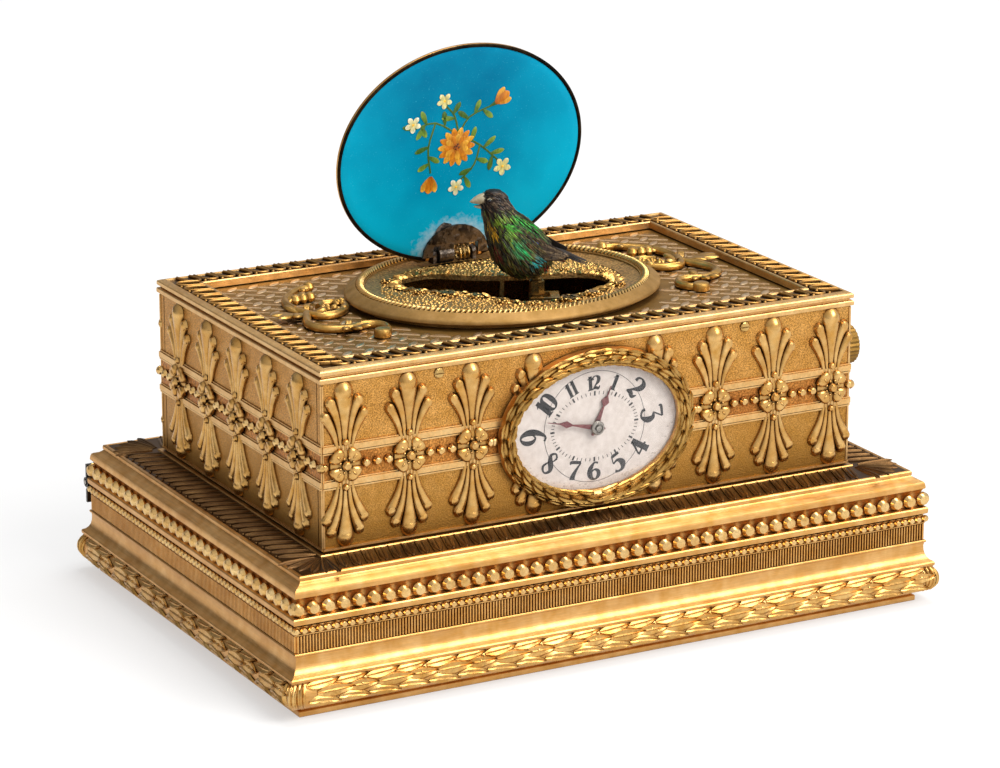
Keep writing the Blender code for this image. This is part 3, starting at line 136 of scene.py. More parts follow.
class Form:
    """Closed surfaces gathered in millimetres, each point with a tint."""

    def __init__(self) -> None:
        """Starts with nothing gathered."""
        self.points: list[Vector] = []
        self.faces: list[tuple[int, ...]] = []
        self.tints: list[Tint] = []

    def loft(self, rings: Sequence[Rows], tints: Sequence[Tint] = (WHITE,), again: bool = False) -> "Form":
        """Joins closed rings of one count.

        Args:
            rings: the rings, in order.
            tints: one tint for all, or one for each ring.
            again: whether the last ring joins the first, and no end is capped.

        Returns:
            This form.
        """
        start, count = len(self.points), len(rings[0])
        for i, ring in enumerate(rings):
            self.points += [Vector(point) for point in ring]
            self.tints += [tints[min(i, len(tints) - 1)]] * count
        for i in range(len(rings) if again else len(rings) - 1):
            low, high = start + i * count, start + (i + 1) % len(rings) * count
            for j in range(count):
                k = (j + 1) % count
                self.faces.append((low + j, low + k, high + k, high + j))
        if not again:
            self.faces.append(tuple(range(start + count - 1, start - 1, -1)))
            self.faces.append(tuple(range(len(self.points) - count, len(self.points))))
        return self

    def sweep(
        self, rows: Rows, section: Rows = ROUND, up: Vector = UP, steps: int = 3,
        tints: Sequence[Tint] = (WHITE,), looped: bool = False,
    ) -> "Form":
        """Carries a section along a smooth path.

        Args:
            rows: x, y, z, half width and half height of each point of the path.
            section: the section's points, from -1 to 1 across and up.
            up: the direction of the section's height.
            steps: parts between two rows.
            tints: one tint for all, or a first and a last one.
            looped: whether the path is closed.

        Returns:
            This form.
        """
        curve = smooth(rows, steps, looped)
        centres, rings, last = [Vector(row[:3]) for row in curve], [], len(curve) - 1
        for i, row in enumerate(curve):
            before = centres[i - 1] if looped or i else centres[0]
            after = centres[(i + 1) % len(curve)] if looped else centres[min(i + 1, last)]
            along = (after - before).normalized()
            across = along.cross(up).normalized()
            rise = across.cross(along)
            wide, tall = max(row[3], 0.01), max(row[4], 0.01)
            rings.append([centres[i] + across * (u * wide) + rise * (v * tall) for u, v in section])
        if len(tints) == 2:
            tints = [between(*tints, i / last) for i in range(last + 1)]
        return self.loft(rings, tints, looped)

    def bar(self, start: Row, end: Row, wide: float, tall: float, section: Rows = FLAT) -> "Form":
        """Adds a straight bar of one section between two points."""
        return self.sweep([(*start, wide, tall), (*end, wide, tall)], section, steps=1)

    def ball(self, centre: Row, radii: Row, section: Rows = ROUND, tint: Tint = WHITE) -> "Form":
        """Adds an ellipsoid.

        Args:
            centre: its middle.
            radii: its three half sizes.
            section: the outline of its level rings, from -1 to 1.
            tint: its tint.

        Returns:
            This form.
        """
        levels = [math.radians(angle) for angle in (-80, -45, 0, 45, 80)]
        rings = [
            [(centre[0] + radii[0] * u * math.cos(a), centre[1] + radii[1] * v * math.cos(a),
              centre[2] + radii[2] * math.sin(a)) for u, v in section]
            for a in levels
        ]
        return self.loft(rings, (tint,))

    def framed(self, profile: Rows) -> "Form":
        """Carries a closed profile of (projection, height) round the case, with mitred corners."""
        rings = [[(x * (HALF_X + p), y * (HALF_Y + p), z) for x, y in CORNERS] for p, z in profile]
        return self.loft(rings, again=True)

    def ovals(self, profile: Rows, count: int = 144, again: bool = True) -> "Form":
        """Joins ovals of (semi-axis, semi-axis, height), as a ring or as a capped solid."""
        return self.loft([[(a * u, b * v, z) for u, v in around(count)] for a, b, z in profile], again=again)

    def wrapped(self, radius_up: float, radius_out: float) -> "Form":
        """Rolls the flat relief about the X axis, as on a torus moulding.

        Args:
            radius_up: the moulding's upright radius.
            radius_out: its radius outwards.

        Returns:
            This form.
        """
        for point in self.points:
            turn = point.y / radius_up
            point.y, point.z = (radius_up + point.z) * math.sin(turn), (radius_out + point.z) * math.cos(turn)
        return self

    def placed(self, matrix: Matrix) -> "Form":
        """Moves every point."""
        self.points = [matrix @ point for point in self.points]
        return self

    def add(self, other: "Form", matrix: Matrix = Matrix.Identity(4)) -> "Form":
        """Takes in another form.

        Args:
            other: the form.
            matrix: what moves it.

        Returns:
            This form.
        """
        start = len(self.points)
        self.points += [matrix @ point for point in other.points]
        self.faces += [tuple(start + k for k in face) for face in other.faces]
        self.tints += other.tints
        return self

    def made(self, name: str, tinted: bool = False, sharp: float = 40.0) -> Thing:
        """Makes the object.

        Args:
            name: the object's name.
            tinted: whether the points keep their tints.
            sharp: the angle in degrees past which an edge shows.

        Returns:
            The mesh object, with its faces turned outwards.
        """
        mesh = bpy.data.meshes.new(name)
        mesh.from_pydata([point * MM for point in self.points], [], self.faces)
        if tinted:
            tint = mesh.attributes.new("tint", "FLOAT_COLOR", "POINT")
            tint.data.foreach_set("color", [c for t in self.tints for c in (*t, 1.0)])
        thing = linked(name, mesh)
        face_outwards(mesh)
        mesh.set_sharp_from_angle(angle=math.radians(sharp))
        return thing

    def fitted(
        self, name: str, body: str, finish: "Finish", *stands_for: str, tinted: bool = False, sharp: float = 40.0,
    ) -> Thing:
        """Makes the piece and sets it on its body."""
        return register(self.made(name, tinted, sharp), body, finish, *stands_for)


def face_outwards(mesh: bpy.types.Mesh) -> None:
    """Smooths a mesh and turns the faces of each closed island outwards.

    Args:
        mesh: the mesh, changed where it is.
    """
    work = bmesh.new()
    work.from_mesh(mesh)
    bmesh.ops.recalc_face_normals(work, faces=work.faces)
    for face in work.faces:
        face.smooth = True
    work.to_mesh(mesh)
    work.free()


class Graph:
    """A node tree that is being filled."""

    def __init__(self, tree: Tree) -> None:
        """Takes an empty tree."""
        self.tree = tree
        tree.nodes.clear()

    def node(self, kind: str, inputs: dict | None = None, **settings: object) -> bpy.types.Node:
        """Adds a node.

        Args:
            kind: the node's type.
            inputs: values or sockets, by the input's name or number.
            settings: the node's own properties.

        Returns:
            The node.
        """
        node = self.tree.nodes.new(kind)
        for name, value in settings.items():
            setattr(node, name, value)
        for key, value in (inputs or {}).items():
            if isinstance(value, Socket):
                self.tree.links.new(value, node.inputs[key])
            else:
                node.inputs[key].default_value = value
        return node

    def place(self) -> Socket:
        """Returns the object coordinates."""
        return self.node("ShaderNodeTexCoord").outputs["Object"]

    def noise(self, size: float, detail: float = 3.0, stretch: Row = (1, 1, 1)) -> Socket:
        """Makes noise from 0 to 1.

        Args:
            size: its patches' size in millimetres.
            detail: how many finer layers it has.
            stretch: how much faster it changes along each axis.

        Returns:
            The noise.
        """
        spread = self.node("ShaderNodeMapping", {"Vector": self.place(), "Scale": stretch})
        inputs = {"Vector": spread.outputs[0], "Scale": 1 / (size * MM), "Detail": detail}
        return self.node("ShaderNodeTexNoise", inputs).outputs[0]

    def maths(self, operation: str, a: object, b: object = 0.0) -> Socket:
        """Returns the result of a sum on two numbers."""
        return self.node("ShaderNodeMath", {0: a, 1: b}, operation=operation, use_clamp=True).outputs[0]

    def vector(self, operation: str, a: object, b: object = (0.0, 0.0, 0.0)) -> bpy.types.NodeOutputs:
        """Returns the outputs of a sum on two vectors."""
        return self.node("ShaderNodeVectorMath", {0: a, 1: b}, operation=operation).outputs

    def spread(self, value: Socket, low: float, high: float, to_low: float = 0.0, to_high: float = 1.0) -> Socket:
        """Returns a value taken from one range to another and held there."""
        inputs = {0: value, 1: low, 2: high, 3: to_low, 4: to_high}
        return self.node("ShaderNodeMapRange", inputs).outputs[0]

    def mix(self, share: object, a: object, b: object, blend: str = "MIX") -> Socket:
        """Mixes two colours.

        Args:
            share: how much of the second there is.
            a: the first, as a colour or a socket.
            b: the second.
            blend: the way of mixing.

        Returns:
            The mixed colour.
        """
        a, b = ((*c, 1.0) if isinstance(c, tuple) else c for c in (a, b))
        node = self.node("ShaderNodeMix", {0: share, 6: a, 7: b}, data_type="RGBA", blend_type=blend)
        return node.outputs[2]

    def bump(self, height: Socket, depth: float, under: Socket | None = None) -> Socket:
        """Raises a normal by a height.

        Args:
            height: the height, from 0 to 1.
            depth: its depth in millimetres.
            under: a normal that is raised already.

        Returns:
            The normal.
        """
        inputs = {"Height": height, "Distance": depth * MM, "Strength": 1.0}
        if under is not None:
            inputs["Normal"] = under
        return self.node("ShaderNodeBump", inputs).outputs[0]

    def hollows(self, reach: float) -> Socket:
        """Returns 0 deep in a hollow and 1 in the open, read over a reach in millimetres."""
        inputs = {"Distance": reach * MM}
        return self.node("ShaderNodeAmbientOcclusion", inputs, samples=6).outputs["AO"]

    def surface(self, inputs: dict) -> None:
        """Ends a material in one shader."""
        shader = self.node("ShaderNodeBsdfPrincipled", inputs)
        self.node("ShaderNodeOutputMaterial", {"Surface": shader.outputs[0]})


@dataclass(frozen=True)
class Finish:
    """A finish with a name and the record's slot that it belongs to."""

    name: str
    slot: str

    def fill(self, graph: Graph) -> None:
        """Adds the finish's own nodes."""
        raise NotImplementedError

    def material(self) -> bpy.types.Material:
        """Makes the finish's material once.

        Returns:
            The material.
        """
        known = bpy.data.materials.get(self.name)
        if known is None:
            known = bpy.data.materials.new(self.name)
            known.use_nodes = True
            self.fill(Graph(known.node_tree))
        return known


@dataclass(frozen=True)
class Metal(Finish):
    """Gilt, patinated or bare metal, darkened in its hollows by patina and painted shade."""

    body: str = "c08a45"
    bright: str = "e9be78"
    # hollow: the colour of the hollows, patina mixed with painted shade
    hollow: str = "4a2c10"
    tarnish: str = "9a6a38"
    rough: float = 0.32
    reach: float = 1.4
    grain: float = 0.45
    depth: float = 0.012
    stipple: float = 0.0
    tarnished: float = 0.5
    brushed: Row = (1, 1, 1)
    shaded: Pair = (0.25, 0.8)
    crackle_glint: float = 0.0
    low: str = ""

    def fill(self, graph: Graph) -> None:
        """Adds mottled, tarnished colour, patina and painted shade in hollows, uneven polish, grain and stippling.

        Args:
            graph: the material's node tree.
        """
        # Ambient occlusion finds the hollows: partly patina, partly painted shade
        clear_of_patina_and_shade = graph.spread(graph.hollows(self.reach), *self.shaded)
        patches = graph.spread(graph.noise(11.0, 4.0), 0.4, 0.68)
        specks = graph.noise(self.grain, 3.0, self.brushed)
        mottle = graph.maths("MULTIPLY", graph.spread(graph.noise(2.6, 5.0), 0.3, 0.75), 0.6)
        tone = graph.mix(mottle, colour(self.body), colour(self.bright))
        tone = graph.mix(graph.maths("MULTIPLY", patches, self.tarnished), tone, colour(self.tarnish))
        tone = graph.mix(1.0, tone, graph.spread(specks, 0.28, 0.72, 0.86, 1.12), "MULTIPLY")
        rough = graph.spread(specks, 0.3, 0.75, self.rough - 0.05, self.rough + 0.08)
        normal = None
        if self.stipple:
            pits = graph.noise(self.stipple, 1.0)
            tone = graph.mix(1.0, tone, graph.spread(pits, 0.3, 0.68, 0.5, 1.42), "MULTIPLY")
            normal = graph.bump(pits, 0.09)
        if self.low:
            height_up = graph.node("ShaderNodeSeparateXYZ", {0: graph.place()}).outputs[2]
            tone = graph.mix(graph.spread(height_up, 0.050, 0.031, 0.0, 0.75), tone, colour(self.low))
        # Pale lines along the crackle: painted highlights on its ridges, over a crackle bump
        if self.crackle_glint:
            cracks = graph.noise(1.5, 5.0)
            off = graph.maths("ABSOLUTE", graph.maths("SUBTRACT", cracks, 0.5))
            edge = graph.spread(off, 0.0, 0.035, self.crackle_glint, 0.0)
            tone = graph.mix(edge, tone, colour(self.bright))
            normal = graph.bump(cracks, 0.5)
        # Patina and painted shade: the hollow colour where ambient occlusion finds hollows
        tone = graph.mix(clear_of_patina_and_shade, colour(self.hollow), tone)
        rough = graph.maths("ADD", rough, graph.spread(clear_of_patina_and_shade, 0.0, 1.0, 0.2, 0.0))
        graph.surface({
            "Base Color": tone, "Metallic": 1.0, "Roughness": rough, "Normal": graph.bump(specks, self.depth, normal),
        })


@dataclass(frozen=True)
class Tinted(Finish):
    """A coat that takes its colour from the tint of each point, with fine streaks."""

    rough: float = 0.5
    coat: float = 0.0
    streak: float = 0.5

    def fill(self, graph: Graph) -> None:
        """Adds the tint, darker and lighter streaks and a fine grain.

        Args:
            graph: the material's node tree.
        """
        tint = graph.node("ShaderNodeAttribute", attribute_name="tint").outputs["Color"]
        streaks = graph.noise(0.5, 4.0, (1.0, 1.0, 0.35))
        shade = graph.spread(streaks, 0.3, 0.7, 1.0 - self.streak, 1.0 + self.streak * 0.6)
        tone = graph.mix(1.0, tint, shade, "MULTIPLY")
        graph.surface({
            "Base Color": tone, "Roughness": self.rough, "Coat Weight": self.coat, "Coat Roughness": 0.08,
            "Specular IOR Level": 0.25, "Normal": graph.bump(streaks, 0.03),
        })


@dataclass(frozen=True)
class Enamel(Finish):
    """Translucent enamel fired over metal: deeper in the middle, worn pale about the hinge."""

    deep: str = "005a80"
    clear: str = "06a0c0"
    worn: str = "b9ccd2"

    def fill(self, graph: Graph) -> None:
        """Adds the graded colour, fine specks, the worn patch and the fired gloss.

        Args:
            graph: the material's node tree.
        """
        ground = graph.node("ShaderNodeSeparateXYZ", {0: graph.place()}).outputs
        fall = graph.spread(ground[2], 0.118, 0.074)
        middle = graph.vector("ADD", graph.place(), (0.002, -0.020, -0.1))[0]
        far = graph.vector("LENGTH", middle)["Value"]
        edge = graph.spread(far, 0.012, 0.029, 0.0, 0.45)
        cloud = graph.maths("MULTIPLY", graph.spread(graph.noise(9.0, 4.0), 0.3, 0.7), 0.22)
        share = graph.maths("ADD", graph.maths("ADD", graph.maths("MULTIPLY", fall, 0.62), edge), cloud)
        tone = graph.mix(share, colour(self.deep), colour(self.clear))
        specks = graph.spread(graph.noise(0.35, 2.0), 0.66, 0.74)
        tone = graph.mix(graph.maths("MULTIPLY", specks, 0.25), tone, colour("4fc0d8"))
        offset = graph.vector("ADD", graph.place(), (0.0, -0.0245, -0.0716))[0]
        reach = graph.vector("LENGTH", graph.vector("MULTIPLY", offset, (1.0, 0.0, 1.2))[0])["Value"]
        ragged = graph.maths("ADD", reach, graph.spread(graph.noise(1.1, 6.0), 0.3, 0.7, 0.0, 0.003))
        tone = graph.mix(graph.spread(ragged, 0.0125, 0.0085, 0.0, 0.7), tone, colour(self.worn))
        graph.surface({
            "Base Color": tone, "Roughness": graph.spread(specks, 0.0, 1.0, 0.26, 0.45), "Specular IOR Level": 0.04,
            "Normal": graph.bump(graph.noise(3.0, 2.0), 0.02),
        })


@dataclass(frozen=True)
class Coat(Finish):
    """A painted, woven, tanned or carved surface of two tones."""

    pale: str = "e6ded2"
    dark: str = "cfc4b4"
    speck: str = "5d5348"
    size: float = 1.0
    depth: float = 0.01
    rough: float = 0.5
    sheen: float = 0.0
    specked: float = 0.0

    def fill(self, graph: Graph) -> None:
        """Adds two mottled tones, specks and a fine relief.

        Args:
            graph: the material's node tree.
        """
        mottle = graph.noise(self.size, 4.0)
        tone = graph.mix(graph.spread(mottle, 0.3, 0.7), colour(self.dark), colour(self.pale))
        spots = graph.spread(graph.noise(self.size * 0.22, 2.0), 0.66, 0.76)
        tone = graph.mix(graph.maths("MULTIPLY", spots, self.specked), tone, colour(self.speck))
        graph.surface({
            "Base Color": tone, "Roughness": self.rough, "Sheen Weight": self.sheen,
            "Normal": graph.bump(mottle, self.depth),
        })


@dataclass(frozen=True)
class Glass(Finish):
    """A thin watch glass that lets lamps through."""

    def fill(self, graph: Graph) -> None:
        """Mixes a clear pane with its gloss, and opens it to lamps.

        Args:
            graph: the material's node tree.
        """
        clear = graph.node("ShaderNodeBsdfTransparent", {"Color": (0.975, 0.97, 0.97, 1.0)}).outputs[0]
        smears = graph.spread(graph.noise(4.0, 3.0), 0.4, 0.7, 0.02, 0.09)
        gloss = graph.node("ShaderNodeBsdfGlossy", {"Color": (1, 1, 1, 1), "Roughness": smears}).outputs[0]
        edge = graph.maths("MULTIPLY", graph.node("ShaderNodeFresnel", {"IOR": 1.4}).outputs[0], 0.35)
        pane = graph.node("ShaderNodeMixShader", {0: edge, 1: clear, 2: gloss}).outputs[0]
        graph.node("ShaderNodeOutputMaterial", {"Surface": pane})


GILT = Metal(
    "gilt brass", "gilt_brass", "c9934c", "ecc286", "55300f", "ad7536", rough=0.36, reach=1.1, grain=0.6,
    brushed=(0.1, 0.1, 5.0), tarnished=0.4, shaded=(0.08, 0.5),
)
BURNISHED = Metal(
    "burnished gilt edges", "gilt_brass", "d3a566", "efcd94", "5c3312", "bd8c4c", rough=0.42, reach=0.6, tarnished=0.25,
    shaded=(0.1, 0.5),
)
RELIEF = Metal(
    "chased gilt relief", "gilt_brass", "c39047", "f0cd8e", "351c08", "ae7c3e", rough=0.27, reach=1.3,
    shaded=(0.25, 0.85), grain=1.4,
)
LEAVES = Metal(
    "crumpled gilt leaves", "gilt_brass", "c08c44", "ecca88", "54300f", "a67836", rough=0.3, reach=1.0, depth=0.03,
    grain=0.7, shaded=(0.2, 0.7),
)
BEADING = Metal(
    "gilt beading", "gilt_brass", "d6a860", "fae0aa", "5a3614", "b98c50", rough=0.22, reach=0.7, shaded=(0.08, 0.45),
)
REEDS = Metal(
    "gilt reeding", "gilt_brass", "cf9448", "efc07a", "4c2408", "b07a3a", rough=0.34, reach=0.45, shaded=(0.15, 0.85),
)
STIPPLED = Metal(
    "stippled gilding", "matt_gilding", "b9853f", "d6a35f", "3a1f08", "a87332", rough=0.42, reach=2.2, stipple=0.26,
    tarnished=0.4, low="9a7030",
)
BAND = Metal("shaded band", "matt_gilding", "ac7034", "d0954f", "3c1d0a", "96592a", rough=0.42, stipple=0.4, reach=1.6)
FLANGE = Metal("matt gilt flange", "matt_gilding", "98753f", "c29c66", "3a270f", "86683c", rough=0.62, reach=1.0)
CHANNEL = Metal("dark channel", "gilt_brass", "4a3216", "6e5026", "180e04", "3a2812", rough=0.42, reach=1.0)
# Painted shade: a dark finish for the tongues in the border loops' hollows
LOOP_HOLLOW_SHADE = Metal("painted shade in loop hollows", "patinated_brass", "3a2c20", "5e4a38", "140c06", "2c221a", rough=0.45, reach=0.8)
DECK = Metal("dark chased deck", "patinated_brass", "4a3118", "6a4a26", "180c04", "3c2814", rough=0.42, reach=1.0)
STROKES = Metal("rubbed chasing", "patinated_brass", "5a3f26", "8a6a42", "1e1006", "4a3422", rough=0.4, reach=0.9)
PLATE = Metal(
    "engraved plate", "patinated_brass", "86642f", "a98248", "2e1e0a", "755a2c", rough=0.52, reach=1.0, grain=0.34,
    brushed=(0.5, 1.6, 1.0), depth=0.03,
)
STUDS = Metal("polished studs", "patinated_brass", "d4b084", "f0dab8", "5a4222", "bd9a6c", rough=0.33, reach=0.4)
MOUNTS = Metal(
    "cast mounts", "gilt_brass", "b5863c", "e2bb74", "2a1806", "94703a", rough=0.36, reach=1.0, shaded=(0.2, 0.75),
)
GRANULES = Metal(
    "granulated gilding", "matt_gilding", "c4934a", "f2cb84", "4c340f", "b08648", rough=0.3, reach=0.7, tarnished=0.9,
)
GROUND = Metal(
    "pale granular ground", "matt_gilding", "a8824a", "d0aa6c", "3e2a10", "b78a5c", rough=0.45, reach=1.0, stipple=0.5,
)
ROPE = Metal(
    "bright rope", "gilt_brass", "d0a45c", "f4d79a", "3e240a", "b0874a", rough=0.36, reach=0.5, shaded=(0.2, 0.8),
)
BORDER = Metal(
    "border loops", "gilt_brass", "a9793c", "d9ad6a", "241404", "8e6634", rough=0.38, reach=1.2, shaded=(0.3, 0.9),
)
WREATH = Metal("burnished laurel", "gilt_brass", "a67734", "e6c078", "2c1806", "80602c", rough=0.26, reach=1.0)
BRASS = Metal("turned brass", "plain_brass", "c29a56", "e8c688", "4a3416", "a5834a", rough=0.28, brushed=(1, 1, 6))
STEEL = Metal("grey steel", "grey_steel", "8f8a82", "c4bfb6", "35302a", "7a736a", rough=0.3, tarnished=0.3)
BLUED = Metal("purpled steel", "blued_steel", "7c4648", "b07c78", "2a1618", "6a4652", rough=0.32, tarnished=0.4)
BLACKENED = Metal("blackened steel", "blackened_steel", "2b2828", "76706a", "0a0909", "3a3532", rough=0.38)
# Blackened steel with painted highlights along its crackle
CRACKLED = Metal(
    "crackled steel", "blackened_steel", "24201f", "86796c", "080707", "322d2b", rough=0.42, crackle_glint=0.5, tarnished=0.6,
)
RIM = Metal("worn black rim", "blackened_steel", "0e0c0b", "4a3a24", "050403", "12100e", rough=0.4, tarnished=0.9)
VELVET = Coat("crimson velvet", "velvet", "5f1420", "3c0812", "2a060c", size=0.8, depth=0.05, rough=0.85, sheen=0.9)
SKIN = Coat(
    "thin zephyr skin", "leather", "c8ac84", "a5855c", "6b4c30", size=1.2, depth=0.04, rough=0.6, sheen=0.2,
    specked=0.4,
)
DIAL = Coat("white dial", "white_dial", "e6ded6", "d6ccc3", "8a8078", size=1.3, depth=0.004, rough=0.45, specked=0.3)
CHIPPED = Coat("chipped dial rim", "white_dial", "d9cec6", "b3a79c", "5c5048", size=0.9, depth=0.02, specked=1.0)
INK = Coat("black dial ink", "white_dial", "2c2c2e", "19191b", "5c5c60", size=0.5, depth=0.004, specked=0.4)
HORN = Coat("ivory beak", "ivory", "b8ad92", "8f8468", "3d3424", size=0.9, depth=0.02, rough=0.4, specked=0.5)
EYE = Coat("bead eye", "dark_feathers", "07070c", "030306", "101018", size=0.5, depth=0.002, rough=0.06)
PLUMAGE = Tinted("feathers", "green_feathers", rough=0.4, streak=0.8)
QUILLS = Tinted("dark quills", "dark_feathers", rough=0.42, streak=0.7)
PAINT = Tinted("fired paint", "turquoise_enamel", rough=0.28, coat=0.35, streak=0.35)
TURQUOISE = Enamel("turquoise enamel", "turquoise_enamel")
PANE = Glass("watch glass", "clear_glass")


class Spread(Enum):
    """The ways in which a motif is repeated."""

    POINTS = "motif on points"
    RAIL = "motif along a rail"
    GROUND = "motif scattered on a ground"


INPUTS = {
    Spread.POINTS: {"Size": ("NodeSocketFloat", 1.0)},
    Spread.RAIL: {"Pitch": ("NodeSocketFloat", 0.002)},
    Spread.GROUND: {
        "Gap": ("NodeSocketFloat", 0.001), "Density": ("NodeSocketFloat", 1e6), "Smallest": ("NodeSocketFloat", 0.6),
        "Largest": ("NodeSocketFloat", 1.2), "Seed": ("NodeSocketInt", 7),
    },
}


def repeating_tree(spread: Spread) -> Tree:
    """Builds a Geometry Nodes tree once.

    Args:
        spread: the way of repeating.

    Returns:
        The tree, with its sizes, the motif and the finish as named inputs.
    """
    known = bpy.data.node_groups.get(spread.value)
    if known is not None:
        return known
    tree = bpy.data.node_groups.new(spread.value, "GeometryNodeTree")
    named = {"Ground": ("NodeSocketGeometry", None), "Motif": ("NodeSocketObject", None),
             "Finish": ("NodeSocketMaterial", None), **INPUTS[spread]}
    for label, (kind, value) in named.items():
        socket = tree.interface.new_socket(label, in_out="INPUT", socket_type=kind)
        if value is not None:
            socket.default_value = value
    tree.interface.new_socket("Relief", in_out="OUTPUT", socket_type="NodeSocketGeometry")
    graph = Graph(tree)
    given = graph.node("NodeGroupInput").outputs
    motif = graph.node("GeometryNodeObjectInfo", {"Object": given["Motif"]}).outputs["Geometry"]
    where, inputs = given["Ground"], {}
    if spread is Spread.POINTS:
        turn, stretch = (
            graph.node("GeometryNodeInputNamedAttribute", {"Name": name}, data_type="FLOAT_VECTOR").outputs[0]
            for name in ("turn", "stretch")
        )
        scale = graph.node("ShaderNodeVectorMath", {0: stretch, "Scale": given["Size"]}, operation="SCALE")
        rotation = graph.node("FunctionNodeEulerToRotation", {0: turn}).outputs[0]
        inputs = {"Rotation": rotation, "Scale": scale.outputs[0]}
    elif spread is Spread.RAIL:
        rail = graph.node("GeometryNodeMeshToCurve", {"Mesh": where}).outputs[0]
        where = graph.node("GeometryNodeResampleCurve", {"Curve": rail, "Length": given["Pitch"]}, mode="LENGTH")
        where = where.outputs[0]
        out = graph.node("GeometryNodeInputNamedAttribute", {"Name": "out"}, data_type="FLOAT_VECTOR").outputs[0]
        along = graph.node("GeometryNodeInputTangent").outputs[0]
        first = graph.node("FunctionNodeAlignRotationToVector", {"Vector": out}, axis="Z").outputs[0]
        turned = {"Rotation": first, "Vector": along}
        second = graph.node("FunctionNodeAlignRotationToVector", turned, axis="X", pivot_axis="Z").outputs[0]
        inputs = {"Rotation": second}
    else:
        poisson = {"Mesh": where, "Distance Min": given["Gap"], "Density Max": given["Density"], "Seed": given["Seed"]}
        points = graph.node("GeometryNodeDistributePointsOnFaces", poisson, distribute_method="POISSON").outputs
        sizes = graph.node("FunctionNodeRandomValue",
                           {2: given["Smallest"], 3: given["Largest"], "Seed": given["Seed"]})
        where, inputs = points["Points"], {"Rotation": points["Rotation"], "Scale": sizes.outputs[1]}
    placed = graph.node("GeometryNodeInstanceOnPoints", {"Points": where, "Instance": motif, **inputs}).outputs[0]
    real = graph.node("GeometryNodeRealizeInstances", {0: placed}).outputs[0]
    dressed = graph.node("GeometryNodeSetMaterial", {"Geometry": real, "Material": given["Finish"]}).outputs[0]
    graph.node("NodeGroupOutput", {"Relief": dressed})
    return tree


def repeat(
    name: str, body: str, finish: Finish, motif: Form, ground: Thing, spread: Spread = Spread.RAIL, **sizes: float,
) -> None:
    """Repeats a motif by Geometry Nodes, bakes it to a plain mesh and sets it on its body.

    Args:
        name: the piece's name.
        body: the body that it rides on.
        finish: its finish.
        motif: what is repeated.
        ground: the points, the rail or the surface, used up.
        spread: the way of repeating.
        sizes: the tree's other inputs, by name.
    """
    pattern = motif.made("motif")
    tree = repeating_tree(spread)
    modifier = ground.modifiers.new("repeat", "NODES")
    modifier.node_group = tree
    values = {"Motif": pattern, "Finish": finish.material(), **sizes}
    for item in tree.interface.items_tree:
        if item.in_out == "INPUT" and item.name in values:
            modifier[item.identifier] = values[item.name]
    seen = bpy.context.evaluated_depsgraph_get()
    mesh = bpy.data.meshes.new_from_object(ground.evaluated_get(seen), preserve_all_data_layers=True, depsgraph=seen)
    register(linked(name, mesh), body, finish)
    bpy.data.objects.remove(ground)
    bpy.data.objects.remove(pattern)


def host(points: Sequence[Vector], edges: Sequence[tuple[int, int]] = (), **vectors: Rows) -> Thing:
    """Makes a mesh of points and edges for a motif to follow.

    Args:
        points: its points.
        edges: the pairs of points that are joined.
        vectors: named vectors for the points, or their tints.

    Returns:
        The mesh object.
    """
    mesh = bpy.data.meshes.new("ground")
    mesh.from_pydata([Vector(point) * MM for point in points], edges, [])
    for label, values in vectors.items():
        kind, key = ("FLOAT_COLOR", "color") if label == "tint" else ("FLOAT_VECTOR", "vector")
        attribute = mesh.attributes.new(label, kind, "POINT")
        attribute.data.foreach_set(key, [float(c) for value in values for c in value])
    return linked("ground", mesh)


@dataclass
class Roots:
    """Points on which a motif is set, each with its turn, its stretch and, on feathers, its tint."""

    spots: list[Vector] = field(default_factory=list)
    turns: list[Row] = field(default_factory=list)
    stretches: list[Row] = field(default_factory=list)
    tints: list[Row] = field(default_factory=list)

    def plant(self, spot: Vector, turn: Row, stretch: Row, tint: Tint | None = None) -> None:
        """Adds a point.

        Args:
            spot: its place.
            turn: its three angles in radians.
            stretch: the motif's size along each axis.
            tint: its tint, if it has one.
        """
        self.spots.append(spot)
        self.turns.append(turn)
        self.stretches.append(stretch)
        if tint is not None:
            self.tints.append((*tint, 1.0))

    def cover(self, name: str, body: str, finish: Finish, motif: Form) -> None:
        """Sets the motif on every point, as one piece on a body."""
        tints = {"tint": self.tints} if self.tints else {}
        ground = host(self.spots, turn=self.turns, stretch=self.stretches, **tints)
        repeat(name, body, finish, motif, ground, Spread.POINTS, Size=1.0)


def rail(lines: Sequence[Rows], outs: Rows, looped: bool = False) -> Thing:
    """Makes the lines that a motif follows.

    Args:
        lines: the points of each line.
        outs: for each line, the direction in which its relief stands.
        looped: whether each line is closed.

    Returns:
        The lines as one object.
    """
    points, edges, stands = [], [], []
    for line, out in zip(lines, outs):
        start = len(points)
        points += list(line)
        stands += [out] * len(line)
        edges += [(start + i, start + i + 1) for i in range(len(line) - 1)]
        if looped:
            edges.append((len(points) - 1, start))
    return host(points, edges, out=stands)


SIDES = (((1, 0), (0, -1)), ((0, 1), (1, 0)), ((-1, 0), (0, 1)), ((0, -1), (-1, 0)))


